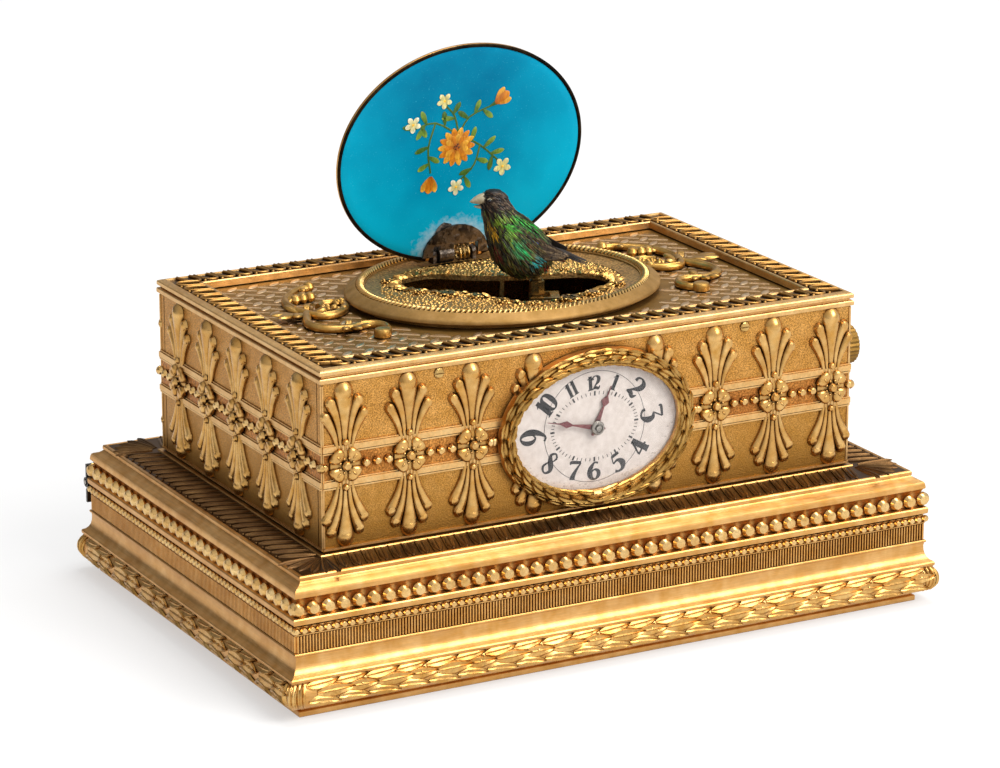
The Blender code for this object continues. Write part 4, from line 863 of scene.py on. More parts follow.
def sides(projection: float, z: float, trim: float, upward: bool = False, back_to: float | None = None) -> Thing:
    """Makes the four lines round the case, each with its relief outward or upward.

    Args:
        projection: how far the lines stand off the case's sides.
        z: their height.
        trim: how far they stop from the corners.
        upward: whether the relief stands up.
        back_to: how far from its first corner a line starts, if not as far as it stops.

    Returns:
        The rail.
    """
    lines, outs = [], []
    for along, out in SIDES:
        half = [HALF_X + projection, HALF_Y + projection]
        long, off = (half[0], half[1]) if along[0] else (half[1], half[0])
        ends = (-(long - (trim if back_to is None else back_to)), long - trim)
        lines.append([(out[0] * off + e * along[0], out[1] * off + e * along[1], z) for e in ends])
        outs.append((0, 0, 1) if upward else (*out, 0))
    return rail(lines, outs)


def facing(side: int, z: float) -> Matrix:
    """Places relief that is drawn flat on a side of the case.

    Args:
        side: 0 front, 1 right, 2 back, 3 left.
        z: the height of the relief's middle.

    Returns:
        The matrix.
    """
    out = SIDES[side][1]
    spot = Matrix.Translation((out[0] * HALF_X, out[1] * HALF_Y, z))
    return spot @ turned(side * 90) @ turned(90, "X")


def turned(degrees: float, axis: str = "Z") -> Matrix:
    """Returns the matrix of a turn."""
    return Matrix.Rotation(math.radians(degrees), 4, axis)


def on_side(side: int, z: float, lines: Sequence[Rows]) -> Thing:
    """Makes the rail of lines that are drawn flat on a side of the case."""
    place = facing(side, z)
    return rail([[place @ Vector(point) for point in line] for line in lines], [place.to_3x3() @ UP] * len(lines))


def at_corners(form: Form, projection: float, z: float) -> Form:
    """Sets a form that is drawn for the back right corner at all four.

    Args:
        form: what is set there.
        projection: how far out from the case's corners.
        z: its height.

    Returns:
        The four, as one form.
    """
    four = Form()
    for quarter, (x, y) in enumerate(CORNERS, 2):
        spot = Matrix.Translation((x * (HALF_X + projection), y * (HALF_Y + projection), z))
        four.add(form, spot @ turned(quarter * 90))
    return four


def register(thing: Thing, body: str, finish: Finish, *stands_for: str) -> Thing:
    """Sets a piece on its body with its finish.

    Args:
        thing: the piece.
        body: the body.
        finish: the finish.
        stands_for: the CAD nodes that the piece replaces.

    Returns:
        The piece.
    """
    if not thing.data.materials:
        thing.data.materials.append(finish.material())
    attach(thing, body)
    if stands_for:
        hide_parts(*stands_for)
    LOG.info("%s: %d faces on %s", thing.name, len(thing.data.polygons), body)
    return thing


def dress(finish: Finish, *nodes: str) -> None:
    """Gives CAD nodes a finish in their own material slots.

    Args:
        finish: the finish.
        nodes: the nodes' names.
    """
    for name in nodes:
        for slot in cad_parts[name].material_slots:
            slot.material = finish.material()
        LOG.info("%s keeps its CAD shape in %s", name, finish.name)


def leaf_on(form: Form, x: float, y: float, length: float, wide: float, lift: float, lean: float) -> None:
    """Adds a laurel leaf that points along +X.

    Args:
        form: what gathers the leaf.
        x: where it starts.
        y: its height across the moulding.
        length: its length.
        wide: its half width.
        lift: how high its rib stands.
        lean: how far its tip leaves its line.
    """
    steps = (
        (0, 0.3, 0.5), (0.14, 0.74, 1.0), (0.28, 0.95, 0.72), (0.44, 1.0, 1.02), (0.6, 0.86, 0.78), (0.76, 0.6, 1.0),
        (0.9, 0.3, 0.78), (1, 0.03, 0.9),
    )
    rows = [(x + length * u, y + lean * u * u, lift * 0.35 * u, wide * w, lift * h) for u, w, h in steps]
    form.sweep(rows, LEAF, steps=1)


def laurel_torus(radius_up: float, radius_out: float) -> Form:
    """Draws one step of the laurel on the base's torus: six leaves and a few berries.

    Args:
        radius_up: the torus's upright radius.
        radius_out: its radius outwards.

    Returns:
        The relief.
    """
    form = Form()
    for x, y, length, wide, lift, lean in (
        (-1.8, 2.2, 7.6, 1.35, 0.5, 0.6), (4.9, 2.3, 7.4, 1.3, 0.5, 0.5), (-1.4, -1.3, 7.4, 1.5, 0.5, -0.6),
        (5.4, -1.2, 7.2, 1.45, 0.5, -0.5), (0.4, 0.6, 8.6, 1.6, 0.56, 0.2), (7.4, 0.7, 7.0, 1.45, 0.52, 0.1),
    ):
        leaf_on(form, x, y, length, wide, lift, lean)
    for x, y, size in ((10.6, 0.8, 0.46), (11.5, 1.7, 0.36), (9.8, 1.6, 0.3), (12.0, 0.2, 0.34)):
        form.ball((x, y, 0.15), (size, size, size), around(6))
    return form.wrapped(radius_up, radius_out)


def laurel_ring(radius_up: float, radius_out: float, inward: int) -> Form:
    """Draws one step of the laurel on the clock's ring: three leaves that bend with it.

    Args:
        radius_up: the ring's radius across the dial.
        radius_out: its radius outwards.
        inward: 1 or -1, the side to which the leaves bend.

    Returns:
        The relief.
    """
    form = Form()
    for x, y, length, wide, lift, lean in (
        (0.2, 0.8, 4.8, 0.95, 0.45, 0.8), (0.4, -0.8, 4.8, 0.95, 0.45, 0.8), (-1.5, 0.0, 5.0, 1.0, 0.6, 0.75),
    ):
        leaf_on(form, x, y * radius_up, length, wide, lift, lean * inward)
    return form.wrapped(radius_up, radius_out)


def bead(radii: Row, count: int = 8) -> Form:
    """Draws a bead to repeat."""
    return Form().ball((0, 0, 0), radii, around(count))


@dataclass
class Plinth:
    """The lower plinth and the sloping deck that carries the case, in mitred mouldings."""

    torus: Pair = (12.4, 5.6)
    torus_radii: Pair = (2.7, 3.2)
    reeds: Pair = (12.35, 16.25)
    small_beads: Pair = (12.72, 19.2)
    large_beads: Pair = (12.5, 23.7)
    deck: float = 29.84
    crease: float = 24.0
    laurel_pitch: float = 13.4
    reed_pitch: float = 0.68
    small_pitch: float = 1.8
    large_pitch: float = 3.45
    stroke_pitch: float = 3.1

    def lower(self) -> None:
        """Makes the lower plinth's body, laurel, reeding and small beads."""
        profile = [(11.3, 0), (11.4, 0.1), (11.4, 1.1), (11.25, 1.25), (10.8, 1.35), (10.8, 2.2), (11.3, 2.4)]
        profile += arc(self.torus, self.torus_radii, -75, 52, 16)
        profile += [
            (14.05, 8.35), (14.3, 8.55), (14.4, 8.85), (14.4, 9.2), (14.25, 9.45), (13.6, 9.8), (13.1, 10.35),
            (12.75, 11.1), (12.55, 12.0), (12.5, 13.0), (12.6, 13.6), (12.9, 13.8), (12.95, 14.1), (12.75, 14.3),
            (12.35, 14.4), (12.35, 18.0), (12.6, 18.15), (12.6, 18.35), (12.35, 18.5), (12.3, 19.95), (12.0, 20.05),
            (9.8, 20.05), (9.8, 1.9), (10.3, 1.9), (10.3, 0),
        ]
        Form().framed(profile).fitted("plinth_body", "base", GILT, "plinth_moulding", sharp=self.crease)
        laurel = laurel_torus(*reversed(self.torus_radii))
        repeat("plinth_laurel", "base", LEAVES, laurel, sides(*self.torus, 12.6, back_to=3.0),
               Pitch=self.laurel_pitch * MM)
        leaves = Form()
        for side in (-1, -0.5, 0, 0.5, 1):
            off = 3.3 - 1.4 * abs(side)
            rows = [
                (off - 1.5, side * 1.5, -2.6, 0.4, 0.3), (off, side * 1.95, -1.0, 0.75, 0.42),
                (off, side * 1.95, 1.0, 0.72, 0.42), (off - 1.4, side * 1.5, 2.7, 0.25, 0.3),
            ]
            leaves.sweep(rows, LEAF, Vector((1, side * 1.2, 0)))
        at_corners(leaves.placed(turned(45)), *self.torus).fitted("plinth_corner_leaves", "base", LEAVES)
        reed = Form().bar((0, -1.78, 0), (0, 1.78, 0), 0.25, 0.42, around(6))
        repeat("plinth_reeding", "base", REEDS, reed, sides(*self.reeds, 0.3), Pitch=self.reed_pitch * MM)
        small = bead((0.84, 0.8, 0.72))
        repeat("plinth_small_beads", "base", BEADING, small, sides(*self.small_beads, 0.2), Pitch=self.small_pitch * MM)

    def upper(self) -> None:
        """Makes the upper plinth's body, large beads and chased deck."""
        profile = [
            (12.75, 20.35), (13.0, 20.5), (13.1, 20.8), (13.1, 21.6), (12.95, 21.85), (12.5, 22.0), (12.0, 22.35),
            (11.75, 23.0), (11.7, 24.0), (11.8, 25.0), (12.05, 25.7), (12.3, 26.0), (12.55, 26.1), (12.6, 26.45),
            (12.45, 27.2), (12.3, 27.55), (11.9, 27.8), (11.0, 28.1), (10.5, 28.45), (10.3, 28.65), (10.2, 28.8),
            (10.35, 28.95), (10.35, 29.6), (10.2, 29.85), (9.8, 29.95), (9.4, 29.8), (1.1, 29.8), (0.95, 30.1),
            (0.2, 30.1), (-12.0, 30.0), (-12.0, 26.8), (8.6, 26.8), (10.0, 20.35),
        ]
        Form().framed(profile).fitted("upper_plinth_body", "case", GILT, "upper_plinth", sharp=self.crease)
        large = bead((1.52, 1.5, 1.2), 12)
        repeat("plinth_large_beads", "case", BEADING, large, sides(*self.large_beads, 0.6), Pitch=self.large_pitch * MM)
        Form().framed([(9.4, 29.75), (9.4, 29.86), (1.1, 29.86), (1.1, 29.75)]).fitted("deck_ground", "case", DECK)
        rows = [
            (-1.1, 0.2, 0, 0.5, 0.2), (-0.7, 1.8, 0, 1.0, 0.42), (0.0, 4.0, 0, 1.05, 0.45), (0.7, 6.2, 0, 0.8, 0.35),
            (1.1, 7.7, 0, 0.2, 0.15),
        ]
        stroke = Form().sweep(rows, LEAF)
        stroke.sweep([(x - 1.35, y, 0.05, 0.12, 0.3) for x, y, *_ in rows], around(6), steps=2)
        stroke.ball((-1.3, -0.15, 0.1), (0.32, 0.32, 0.32), around(6))
        repeat("deck_strokes", "case", STROKES, stroke, sides(9.0, self.deck, 11.0, True), Pitch=self.stroke_pitch * MM)
        fan = Form()
        rows = [(1.8, 0, 0, 0.3, 0.2), (5.0, 0, 0, 0.85, 0.42), (8.6, 0, 0, 1.0, 0.45), (10.4, 0, 0, 0.2, 0.15)]
        for angle in range(5, 86, 16):
            fan.add(Form().sweep(rows, LEAF), turned(angle))
        at_corners(fan, 0.6, self.deck).fitted("deck_corner_fans", "case", STROKES)

    def build(self) -> None:
        """Makes both plinths and dresses what they hold."""
        self.lower()
        self.upper()
        dress(DECK, "bottom_plate", "case_floor")
        dress(VELVET, "compartment_lining")
        dress(BLACKENED, "lower_hinge_leaf", "upper_hinge_leaf")
        dress(STEEL, "long_hinge_pin")


@dataclass
class Palmette:
    """The palmette of the case's sides: five lobes up, five down and a rosette between."""

    up_middle: Rows = (
        (0, 2.4, 0.45), (0, 5.5, 0.62), (0, 8.5, 0.95), (0, 11.5, 1.45), (0, 14, 1.92), (0, 15.8, 2.0), (0, 17.0, 1.5),
        (0, 17.5, 0.7),
    )
    up_inner: Rows = (
        (0.75, 2.4, 0.4), (1.0, 5, 0.5), (1.35, 8, 0.66), (1.95, 10.6, 0.9), (2.8, 12.7, 1.12), (3.45, 14.0, 1.12),
        (3.85, 14.9, 0.8), (4.0, 15.3, 0.35),
    )
    up_outer: Rows = (
        (1.45, 2.6, 0.4), (1.85, 4.6, 0.5), (2.45, 6.8, 0.7), (3.35, 8.8, 0.92), (4.2, 10.3, 1.05), (4.75, 11.3, 0.95),
        (5.05, 12.0, 0.4),
    )
    down_middle: Rows = (
        (0, -2.4, 0.4), (0, -6, 0.5), (0, -9, 0.75), (0, -12, 1.2), (0, -14.5, 1.72), (0, -16.0, 1.8), (0, -17.0, 1.3),
        (0, -17.4, 0.5),
    )
    down_inner: Rows = (
        (0.7, -2.5, 0.35), (0.95, -5.5, 0.48), (1.3, -8.5, 0.64), (2.0, -11.2, 0.9), (2.85, -13.4, 1.12),
        (3.4, -14.8, 1.12), (3.7, -15.6, 0.8), (3.8, -16.0, 0.3),
    )
    down_outer: Rows = (
        (1.35, -2.7, 0.35), (1.75, -5, 0.48), (2.35, -7.4, 0.68), (3.25, -9.6, 0.94), (4.1, -11.3, 1.1),
        (4.55, -12.5, 1.02), (4.75, -13.2, 0.4),
    )

    def lobe(self, form: Form, path: Rows, side: int, start: float) -> None:
        """Adds one lobe, with its tip rolled up into a knob.

        Args:
            form: what gathers the lobe.
            path: the lobe's x, y and half width from its neck.
            side: 1 or -1, to mirror it.
            start: the height from the middle below which nothing is made.
        """
        path = [row for row in smooth(path, 4) if abs(row[1]) >= start]
        fattest = max(path, key=lambda row: row[2])
        rows = [(side * x, y, 0.05, w * 1.06, 0.42 + 0.52 * w) for x, y, w in path[:path.index(fattest) + 2]]
        form.sweep(rows, FINE_ROUND, steps=1)
        x, y, wide = fattest
        form.ball((side * x, y, 0.08), (wide * 1.07, wide * 1.25, 0.5 + 0.54 * wide), FINE_ROUND)

    def rosette(self, form: Form) -> None:
        """Adds four curled petals about a cluster of beads, with a bead above and below.

        Args:
            form: what gathers them.
        """
        dome = ((3.5, 0.0), (3.4, 0.5), (2.4, 0.8), (0.3, 0.9))
        form.ovals([(r, r * 1.05, z) for r, z in dome], 24, False)
        rows = [(1.0, 0.5, 0.5), (1.6, 1.1, 0.8), (2.3, 1.75, 1.0), (3.0, 1.95, 1.05), (3.6, 1.6, 0.95),
                (3.95, 0.8, 0.6)]
        petal = Form().sweep([(x, 0, 0.55, w, h) for x, w, h in rows], LOBE)
        petal.ball((2.6, 0, 1.2), (0.75, 0.35, 0.45), around(6))
        for quarter in range(4):
            form.add(petal, turned(45 + quarter * 90))
        form.ball((0, 0, 1.4), (1.05, 1.05, 0.85), FINE_ROUND)
        for x, y in around(8, 0.0625):
            form.ball((1.6 * x, 1.6 * y, 1.15), (0.36, 0.36, 0.45), around(6))
        for y in (4.85, -4.8):
            form.ball((0, y, 0.8), (0.78, 0.78, 0.75), FINE_ROUND)

    def whole(self, upper: bool = True, bare: int = 0) -> Form:
        """Draws the whole palmette.

        Args:
            upper: whether it keeps its upper lobes.
            bare: the side, 1 or -1, that has no lower side lobes.

        Returns:
            The palmette, flat.
        """
        form = Form()
        for side in (-1, 1):
            paths = (self.up_outer, self.up_inner) if upper else ()
            for path in (*paths, *(() if side == bare else (self.down_outer, self.down_inner))):
                self.lobe(form, path, side, 0)
        if upper:
            self.lobe(form, self.up_middle, 1, 0)
        self.lobe(form, self.down_middle, 1, 0)
        self.rosette(form)
        return form

    def cut_by_wreath(self, side: int) -> Form:
        """Draws what the clock's wreath leaves in sight of a palmette.

        Args:
            side: the outer side, -1 or 1.

        Returns:
            The lobes' ends, flat.
        """
        form = Form()
        for path, start in (
            (self.up_middle, 11.0), (self.up_inner, 9.0), (self.up_outer, 7.4),
            (self.down_middle, 11.5), (self.down_inner, 9.4), (self.down_outer, 8.0),
        ):
            self.lobe(form, path, side, start)
        return form


@dataclass
class Case:
    """The box: stippled sides with palmettes, the bordered top frame, the engraved plate and its mounts."""

    middle: float = 48.7
    steps: Pair = (14.75, 15.0)
    strap_heights: Pair = (3.55, -4.0)
    wreath_end: float = 21.4
    plate: float = 67.6
    border: float = 69.12
    bead_pitch: float = 2.55
    loop_pitch: float = 4.05
    trellis: Pair = (5.1, 4.4)
    trellis_half: Pair = (54.0, 31.2)
    bare_oval: Pair = (37.6, 31.3)
    palmette: Palmette = field(default_factory=Palmette)

    def side_relief(self) -> None:
        """Makes the palmettes, straps and beads of the four sides."""
        reach = {0: ((-4, -2), (2, 4)), 2: ((-4, 4),), 3: ((-2, 2),)}
        for side, name in enumerate(("front", "right", "back", "left")):
            step = self.steps[side % 2]
            self.band(side, name, step)
            if side in reach:
                ground = on_side(side, self.middle, [[(k * step, 0, 0) for k in span] for span in reach[side]])
                repeat(f"{name}_palmettes", "case", RELIEF, self.palmette.whole(), ground, Pitch=step * MM)
        right, cut = Form(), Form()
        for k, upper, bare in ((-2, False, 0), (-1, True, 0), (0, True, 1), (1, True, -1), (2, True, 0)):
            shift = Matrix.Translation((k * self.steps[1], 0, 0))
            right.add(self.palmette.whole(upper, bare), facing(1, self.middle) @ shift)
        for side in (-1, 1):
            shift = Matrix.Translation((side * self.steps[0], 0, 0))
            cut.add(self.palmette.cut_by_wreath(side), facing(0, self.middle) @ shift)
        right.fitted("right_palmettes", "case", RELIEF)
        cut.fitted("front_palmettes_behind_wreath", "case", RELIEF)

    def band(self, side: int, name: str, step: float) -> None:
        """Makes one side's two straps, its coppery ground and its beads.

        Args:
            side: the side's number.
            name: the side's name.
            step: its palmettes' spacing.
        """
        half = (HALF_X, HALF_Y)[side % 2]
        spans = [(-half, half)] if side else [(-half, -self.wreath_end), (self.wreath_end, half)]
        place = facing(side, self.middle)
        ground, straps = Form(), Form()
        for low, high in spans:
            ground.bar((low, -0.2, 0), (high, -0.2, 0), 3.4, 0.14)
            for y in self.strap_heights:
                for off, z, wide, tall in ((0.1, 0.1, 0.62, 0.5), (-0.86, 0.1, 0.16, 0.36), (0.92, 0.05, 0.13, 0.25)):
                    straps.bar((low, y + off, z), (high, y + off, z), wide, tall)
        for edge in (-half * 0.9965, half * 0.9965):
            straps.bar((edge, -17.6, 0.05), (edge, 17.3, 0.05), 0.2, 0.2, ROUND)
        straps.bar((-half, -17.9, 0.05), (half, -17.9, 0.05), 0.22, 0.3)
        ground.placed(place).fitted(f"{name}_band_ground", "case", BAND)
        straps.placed(place).fitted(f"{name}_straps", "case", BURNISHED)
        count = 2 if side % 2 else 4
        end = (count + 0.5) * step
        middles = [(k + 0.5) * step for k in range(-count, count)]
        rows = [(at - 2.6, at + 2.6, 0.45) for at in middles if side or abs(at) > 24]
        for hand in (-1, 1):
            if side % 2:
                rows.append((hand * (end - 2.6), hand * end, 0.45))
            elif side == 0:
                rows.append((hand * 24.4, hand * 25.2, 0.45))
            rows.append((hand * (half - 0.2), hand * (half + 0.3), 0.2))
        spot = on_side(side, self.middle, [[(low, -0.2, z), (high, -0.2, z)] for low, high, z in rows])
        repeat(f"{name}_beads", "case", BEADING, bead((1.0, 1.05, 0.95), 10), spot, Pitch=self.bead_pitch * MM)

    @staticmethod
    def tongue(lean: int) -> Form:
        """Draws one rounded loop of the border, with a pearl and a stem beside it.

        Args:
            lean: the side, 1 or -1, to which its inner end leans.

        Returns:
            The loop, flat.
        """
        half = [(0.5, 0.42), (1.3, 1.2), (1.62, 2.6), (1.65, 4.0), (1.5, 5.3)]
        loop = [(-x, y) for x, y in reversed(half)] + half
        form = Form().sweep([(x + lean * 0.24 * y, y, 0.2, 0.34, 0.5) for x, y in loop])
        form.ball((2.02 + lean * 0.1, 0.45, 0.25), (0.4, 0.4, 0.4))
        stem = [(2.02 + lean * 0.24 * y, y, 0.15, w, 0.42) for y, w in ((0.9, 0.12), (3.0, 0.2), (5.4, 0.3))]
        return form.sweep(stem, around(6), steps=1)

    @staticmethod
    def hollow(lean: int) -> Form:
        """Draws the shallow tongue of painted shade in the hollow of a loop that leans to a side, 1 or -1."""
        rows = ((0.8, 0.5, 0.1), (2.2, 1.0, 0.22), (3.8, 1.1, 0.26), (5.3, 0.9, 0.2))
        return Form().sweep([(lean * 0.24 * y, y, -0.05, w, t) for y, w, t in rows], ROUND, steps=2)

    def top_frame(self) -> None:
        """Makes the top frame with its fillets, and the border of loops, pearls and corner leaves."""
        profile = [
            (0.1, 66.4), (0.5, 66.45), (0.56, 66.65), (0.56, 67.3), (0.4, 67.5), (-0.15, 67.6), (-0.15, 67.95),
            (0.35, 68.05), (0.5, 68.2), (0.5, 68.9), (0.35, 69.1), (-0.3, 69.35), (-0.95, 69.5), (-1.1, 69.45),
            (-1.2, 69.0), (-6.5, 69.1), (-6.6, 69.35), (-6.8, 69.5), (-7.2, 69.5), (-7.34, 69.3), (-7.34, 67.9),
            (-4.6, 67.9), (-4.6, 66.1), (-3.8, 65.4), (-3.8, 63.0), (-2.3, 63.0), (-2.3, 66.4),
        ]
        Form().framed(profile).fitted("top_frame_body", "case", BURNISHED, "top_frame", sharp=24.0)
        channel = [(-1.25, 68.9), (-1.25, 69.1), (-6.4, 69.15), (-6.4, 68.9)]
        Form().framed(channel).fitted("top_channel", "case", CHANNEL)
        x, y, z = HALF_X - 1.05, HALF_Y - 1.05, self.border
        inner_x, inner_y = x - 5.4, y - 5.4
        for name, lean, lines in (
            ("long", -1, [[(-inner_x, -y, z), (inner_x, -y, z)], [(-inner_x, inner_y, z), (inner_x, inner_y, z)]]),
            ("short", 1, [[(-x, inner_y, z), (-x, -inner_y, z)], [(inner_x, inner_y, z), (inner_x, -inner_y, z)]]),
        ):
            # The loops' hollows hold dark tongues of painted shade
            for part, finish, form in (("border", BORDER, self.tongue(lean)), ("hollows", LOOP_HOLLOW_SHADE, self.hollow(lean))):
                repeat(f"top_{part}_{name}", "case", finish, form, rail(lines, [UP] * 2), Pitch=self.loop_pitch * MM)
        leaf = Form()
        for angle in (-36, -18, 0, 18, 36):
            turn, reach = math.radians(225 + angle), 7.4 - abs(angle) * 0.05
            rows = [
                (reach * u * math.cos(turn), reach * u * math.sin(turn), 0.1, w, 0.42)
                for u, w in ((0.08, 0.3), (0.45, 0.62), (0.8, 0.8), (1.0, 0.12))
            ]
            leaf.sweep(rows, LEAF, steps=2)
        leaf.ball((-0.9, -0.9, 0.3), (0.7, 0.7, 0.5))
        at_corners(leaf, -1.0, 68.25).fitted("top_corner_leaves", "case", RELIEF)

    def engraving(self) -> None:
        """Makes the engraved plate's trellis of oval studs and paired strokes."""
        stud, pair = Form(), Form()
        half = [(1.1, 0.62, 0.16), (2.1, 0.06, 0.06)]
        rows = [(-x, w, h) for x, w, h in reversed(half)] + [(0, 0.84, 0.2)] + half
        stud.sweep([(x, 0, 0, w, h) for x, w, h in rows], FINE_ROUND, steps=2)
        for shift, long, wide in ((-1.1, 1.3, 0.06), (0.0, 2.3, 0.17), (0.55, 2.0, 0.06), (1.2, 1.4, 0.06)):
            pair.bar((-long, shift, 0), (long, shift, 0), wide, 0.13, around(6))
        for name, form, angle, shift in (("plate_studs", stud, 39, 0.0), ("plate_strokes", pair, -39, 0.5)):
            marks, (far, deep), (a, b) = Roots(), self.trellis, self.bare_oval
            for i in range(-11, 12):
                for j in range(-8, 9):
                    x, y = (i + shift) * far, (j - shift) * deep
                    inside = abs(x) < self.trellis_half[0] and abs(y) < self.trellis_half[1]
                    if inside and (x / a) ** 2 + (y / b) ** 2 > 1:
                        marks.plant(Vector((x, y, self.plate)), (0, 0, math.radians(angle)), (1, 1, 1))
            marks.cover(name, "case", STUDS, form)

    def scroll_mount(self) -> Form:
        """Draws the right-hand mount: scrolling branches with leaves, knobs and a berried scroll.

        Returns:
            The mount, about the plate's level.
        """
        form = Form()
        branches = (
            ((10.4, 2.3, 1.0), (11.6, 0.4, 1.1), (13.4, -4.0, 1.0), (13.7, -7.4, 1.05), (12.4, -10.2, 1.1),
             (10.0, -11.7, 1.0), (7.0, -12.2, 1.25)),
            ((7.2, -12.1, 1.2), (4.4, -11.4, 0.85), (1.6, -12.0, 0.8), (0.2, -14.4, 0.85), (0.9, -17.2, 0.9),
             (2.6, -18.6, 0.9)),
            ((10.4, 2.3, 1.1), (11.5, 6.0, 1.05), (11.3, 10.5, 1.0), (9.6, 14.8, 0.95), (6.6, 18.2, 0.9),
             (3.6, 20.4, 0.9), (1.6, 21.0, 1.0)),
            ((10.2, 1.4, 0.95), (8.2, -1.0, 0.9), (5.0, -0.8, 0.95), (2.0, 1.6, 1.0), (0.5, 4.6, 1.0), (1.6, 7.2, 0.9),
             (4.4, 7.4, 0.8), (6.2, 5.8, 0.7)),
        )
        for path in branches:
            form.sweep([(x, y, 0.85, w, 0.95) for x, y, w in path], FINE_ROUND, steps=5)
            form.sweep([(x, y, 1.62, w * 0.4, 0.3) for x, y, w in path[1:-1]], ROUND, steps=5)
        for x, y, angle, size, wide in (
            (12.0, 3.0, -32, 7.6, 1.35), (12.2, 2.6, -8, 7.0, 1.35), (11.6, 3.4, -58, 6.2, 1.2),
            (11.4, 3.6, 60, 4.4, 0.9), (10.2, 3.4, 120, 3.6, 0.8), (9.6, 2.0, 190, 3.4, 0.8),
            (8.0, -11.9, -60, 3.8, 0.9), (7.0, -12.2, -95, 4.0, 0.95), (6.2, -12.0, -130, 3.8, 0.9),
            (7.4, -11.4, 120, 3.0, 0.8), (10.6, 12.4, 150, 3.6, 0.9), (8.6, 15.4, 215, 4.0, 0.9),
            (6.4, 17.4, 250, 3.6, 0.8), (3.6, 20.0, 280, 3.0, 0.8), (1.0, 3.4, -60, 3.0, 0.8),
        ):
            turn = Matrix.Translation((x, y, 0.3)) @ turned(angle)
            rows = [(size * u, 0, 0.3 + 1.1 * u, wide * w, 0.75 * w) for u, w in
                    ((0, 0.45), (0.3, 0.85), (0.65, 1.0), (0.88, 0.7), (1.0, 0.2))]
            form.add(Form().sweep(rows, LOBE), turn)
        knob = [(1.5, 0), (1.85, 0.3), (1.9, 1.4), (1.7, 1.9), (1.2, 2.1), (0.2, 2.15)]
        form.loft([[(3.05 + r * u, -19.0 + r * v, z) for u, v in around(20)] for r, z in knob])
        for x, y, size in ((1.0, 21.2, 1.35), (8.2, 12.8, 1.25), (6.4, 12.8, 1.15), (4.4, 13.4, 1.3)):
            form.ball((x, y, 1.2), (size, size, 1.2), FINE_ROUND)
        chance = random.Random(5)
        for k in range(26):
            middle, spread = ((4.4, 3.6), 2.2) if k < 14 else ((0.9, 5.4), 1.5)
            turn, reach = chance.uniform(0, 6.28), chance.uniform(0.1, 1.0) ** 0.5 * spread
            size = chance.uniform(0.5, 0.75)
            spot = (middle[0] + reach * math.cos(turn), middle[1] + reach * math.sin(turn),
                    1.5 - 0.3 * reach + 0.4 * (k > 13))
            form.ball(spot, (size, size, size), ROUND)
        return form

    def build(self) -> None:
        """Makes the case's relief and dresses its panels, screws and inner pieces."""
        dress(STIPPLED, "front_panel", "left_panel", "right_panel", "back_panel")
        dress(BRASS, "left_panel_screw", "right_panel_screw")
        dress(PLATE, "engraved_top_plate")
        self.side_relief()
        self.top_frame()
        self.engraving()
        for side, name in ((1, "right"), (-1, "left")):
            place = Matrix.Translation((side * 36.0, 0, self.plate)) @ Matrix.Diagonal((side, 1, 1, 1))
            self.scroll_mount().placed(place).fitted(f"{name}_mount", "case", MOUNTS, f"{name}_scroll_mount")


BIRD_PLANE = math.radians(-25)
SLOT = (
    (-23.0, 1.2), (-20.2, -2.6), (-15.0, -4.4), (-8.0, -6.6), (-2.4, -11.0), (2.6, -14.2), (9.6, -13.8),
    (15.0, -9.6), (19.6, -5.2), (23.6, 1.6), (21.8, 6.4), (17.4, 8.8), (8.0, 7.8), (-0.4, 7.0),
    (-8.0, 8.0), (-15.0, 9.8), (-21.0, 6.6),
)


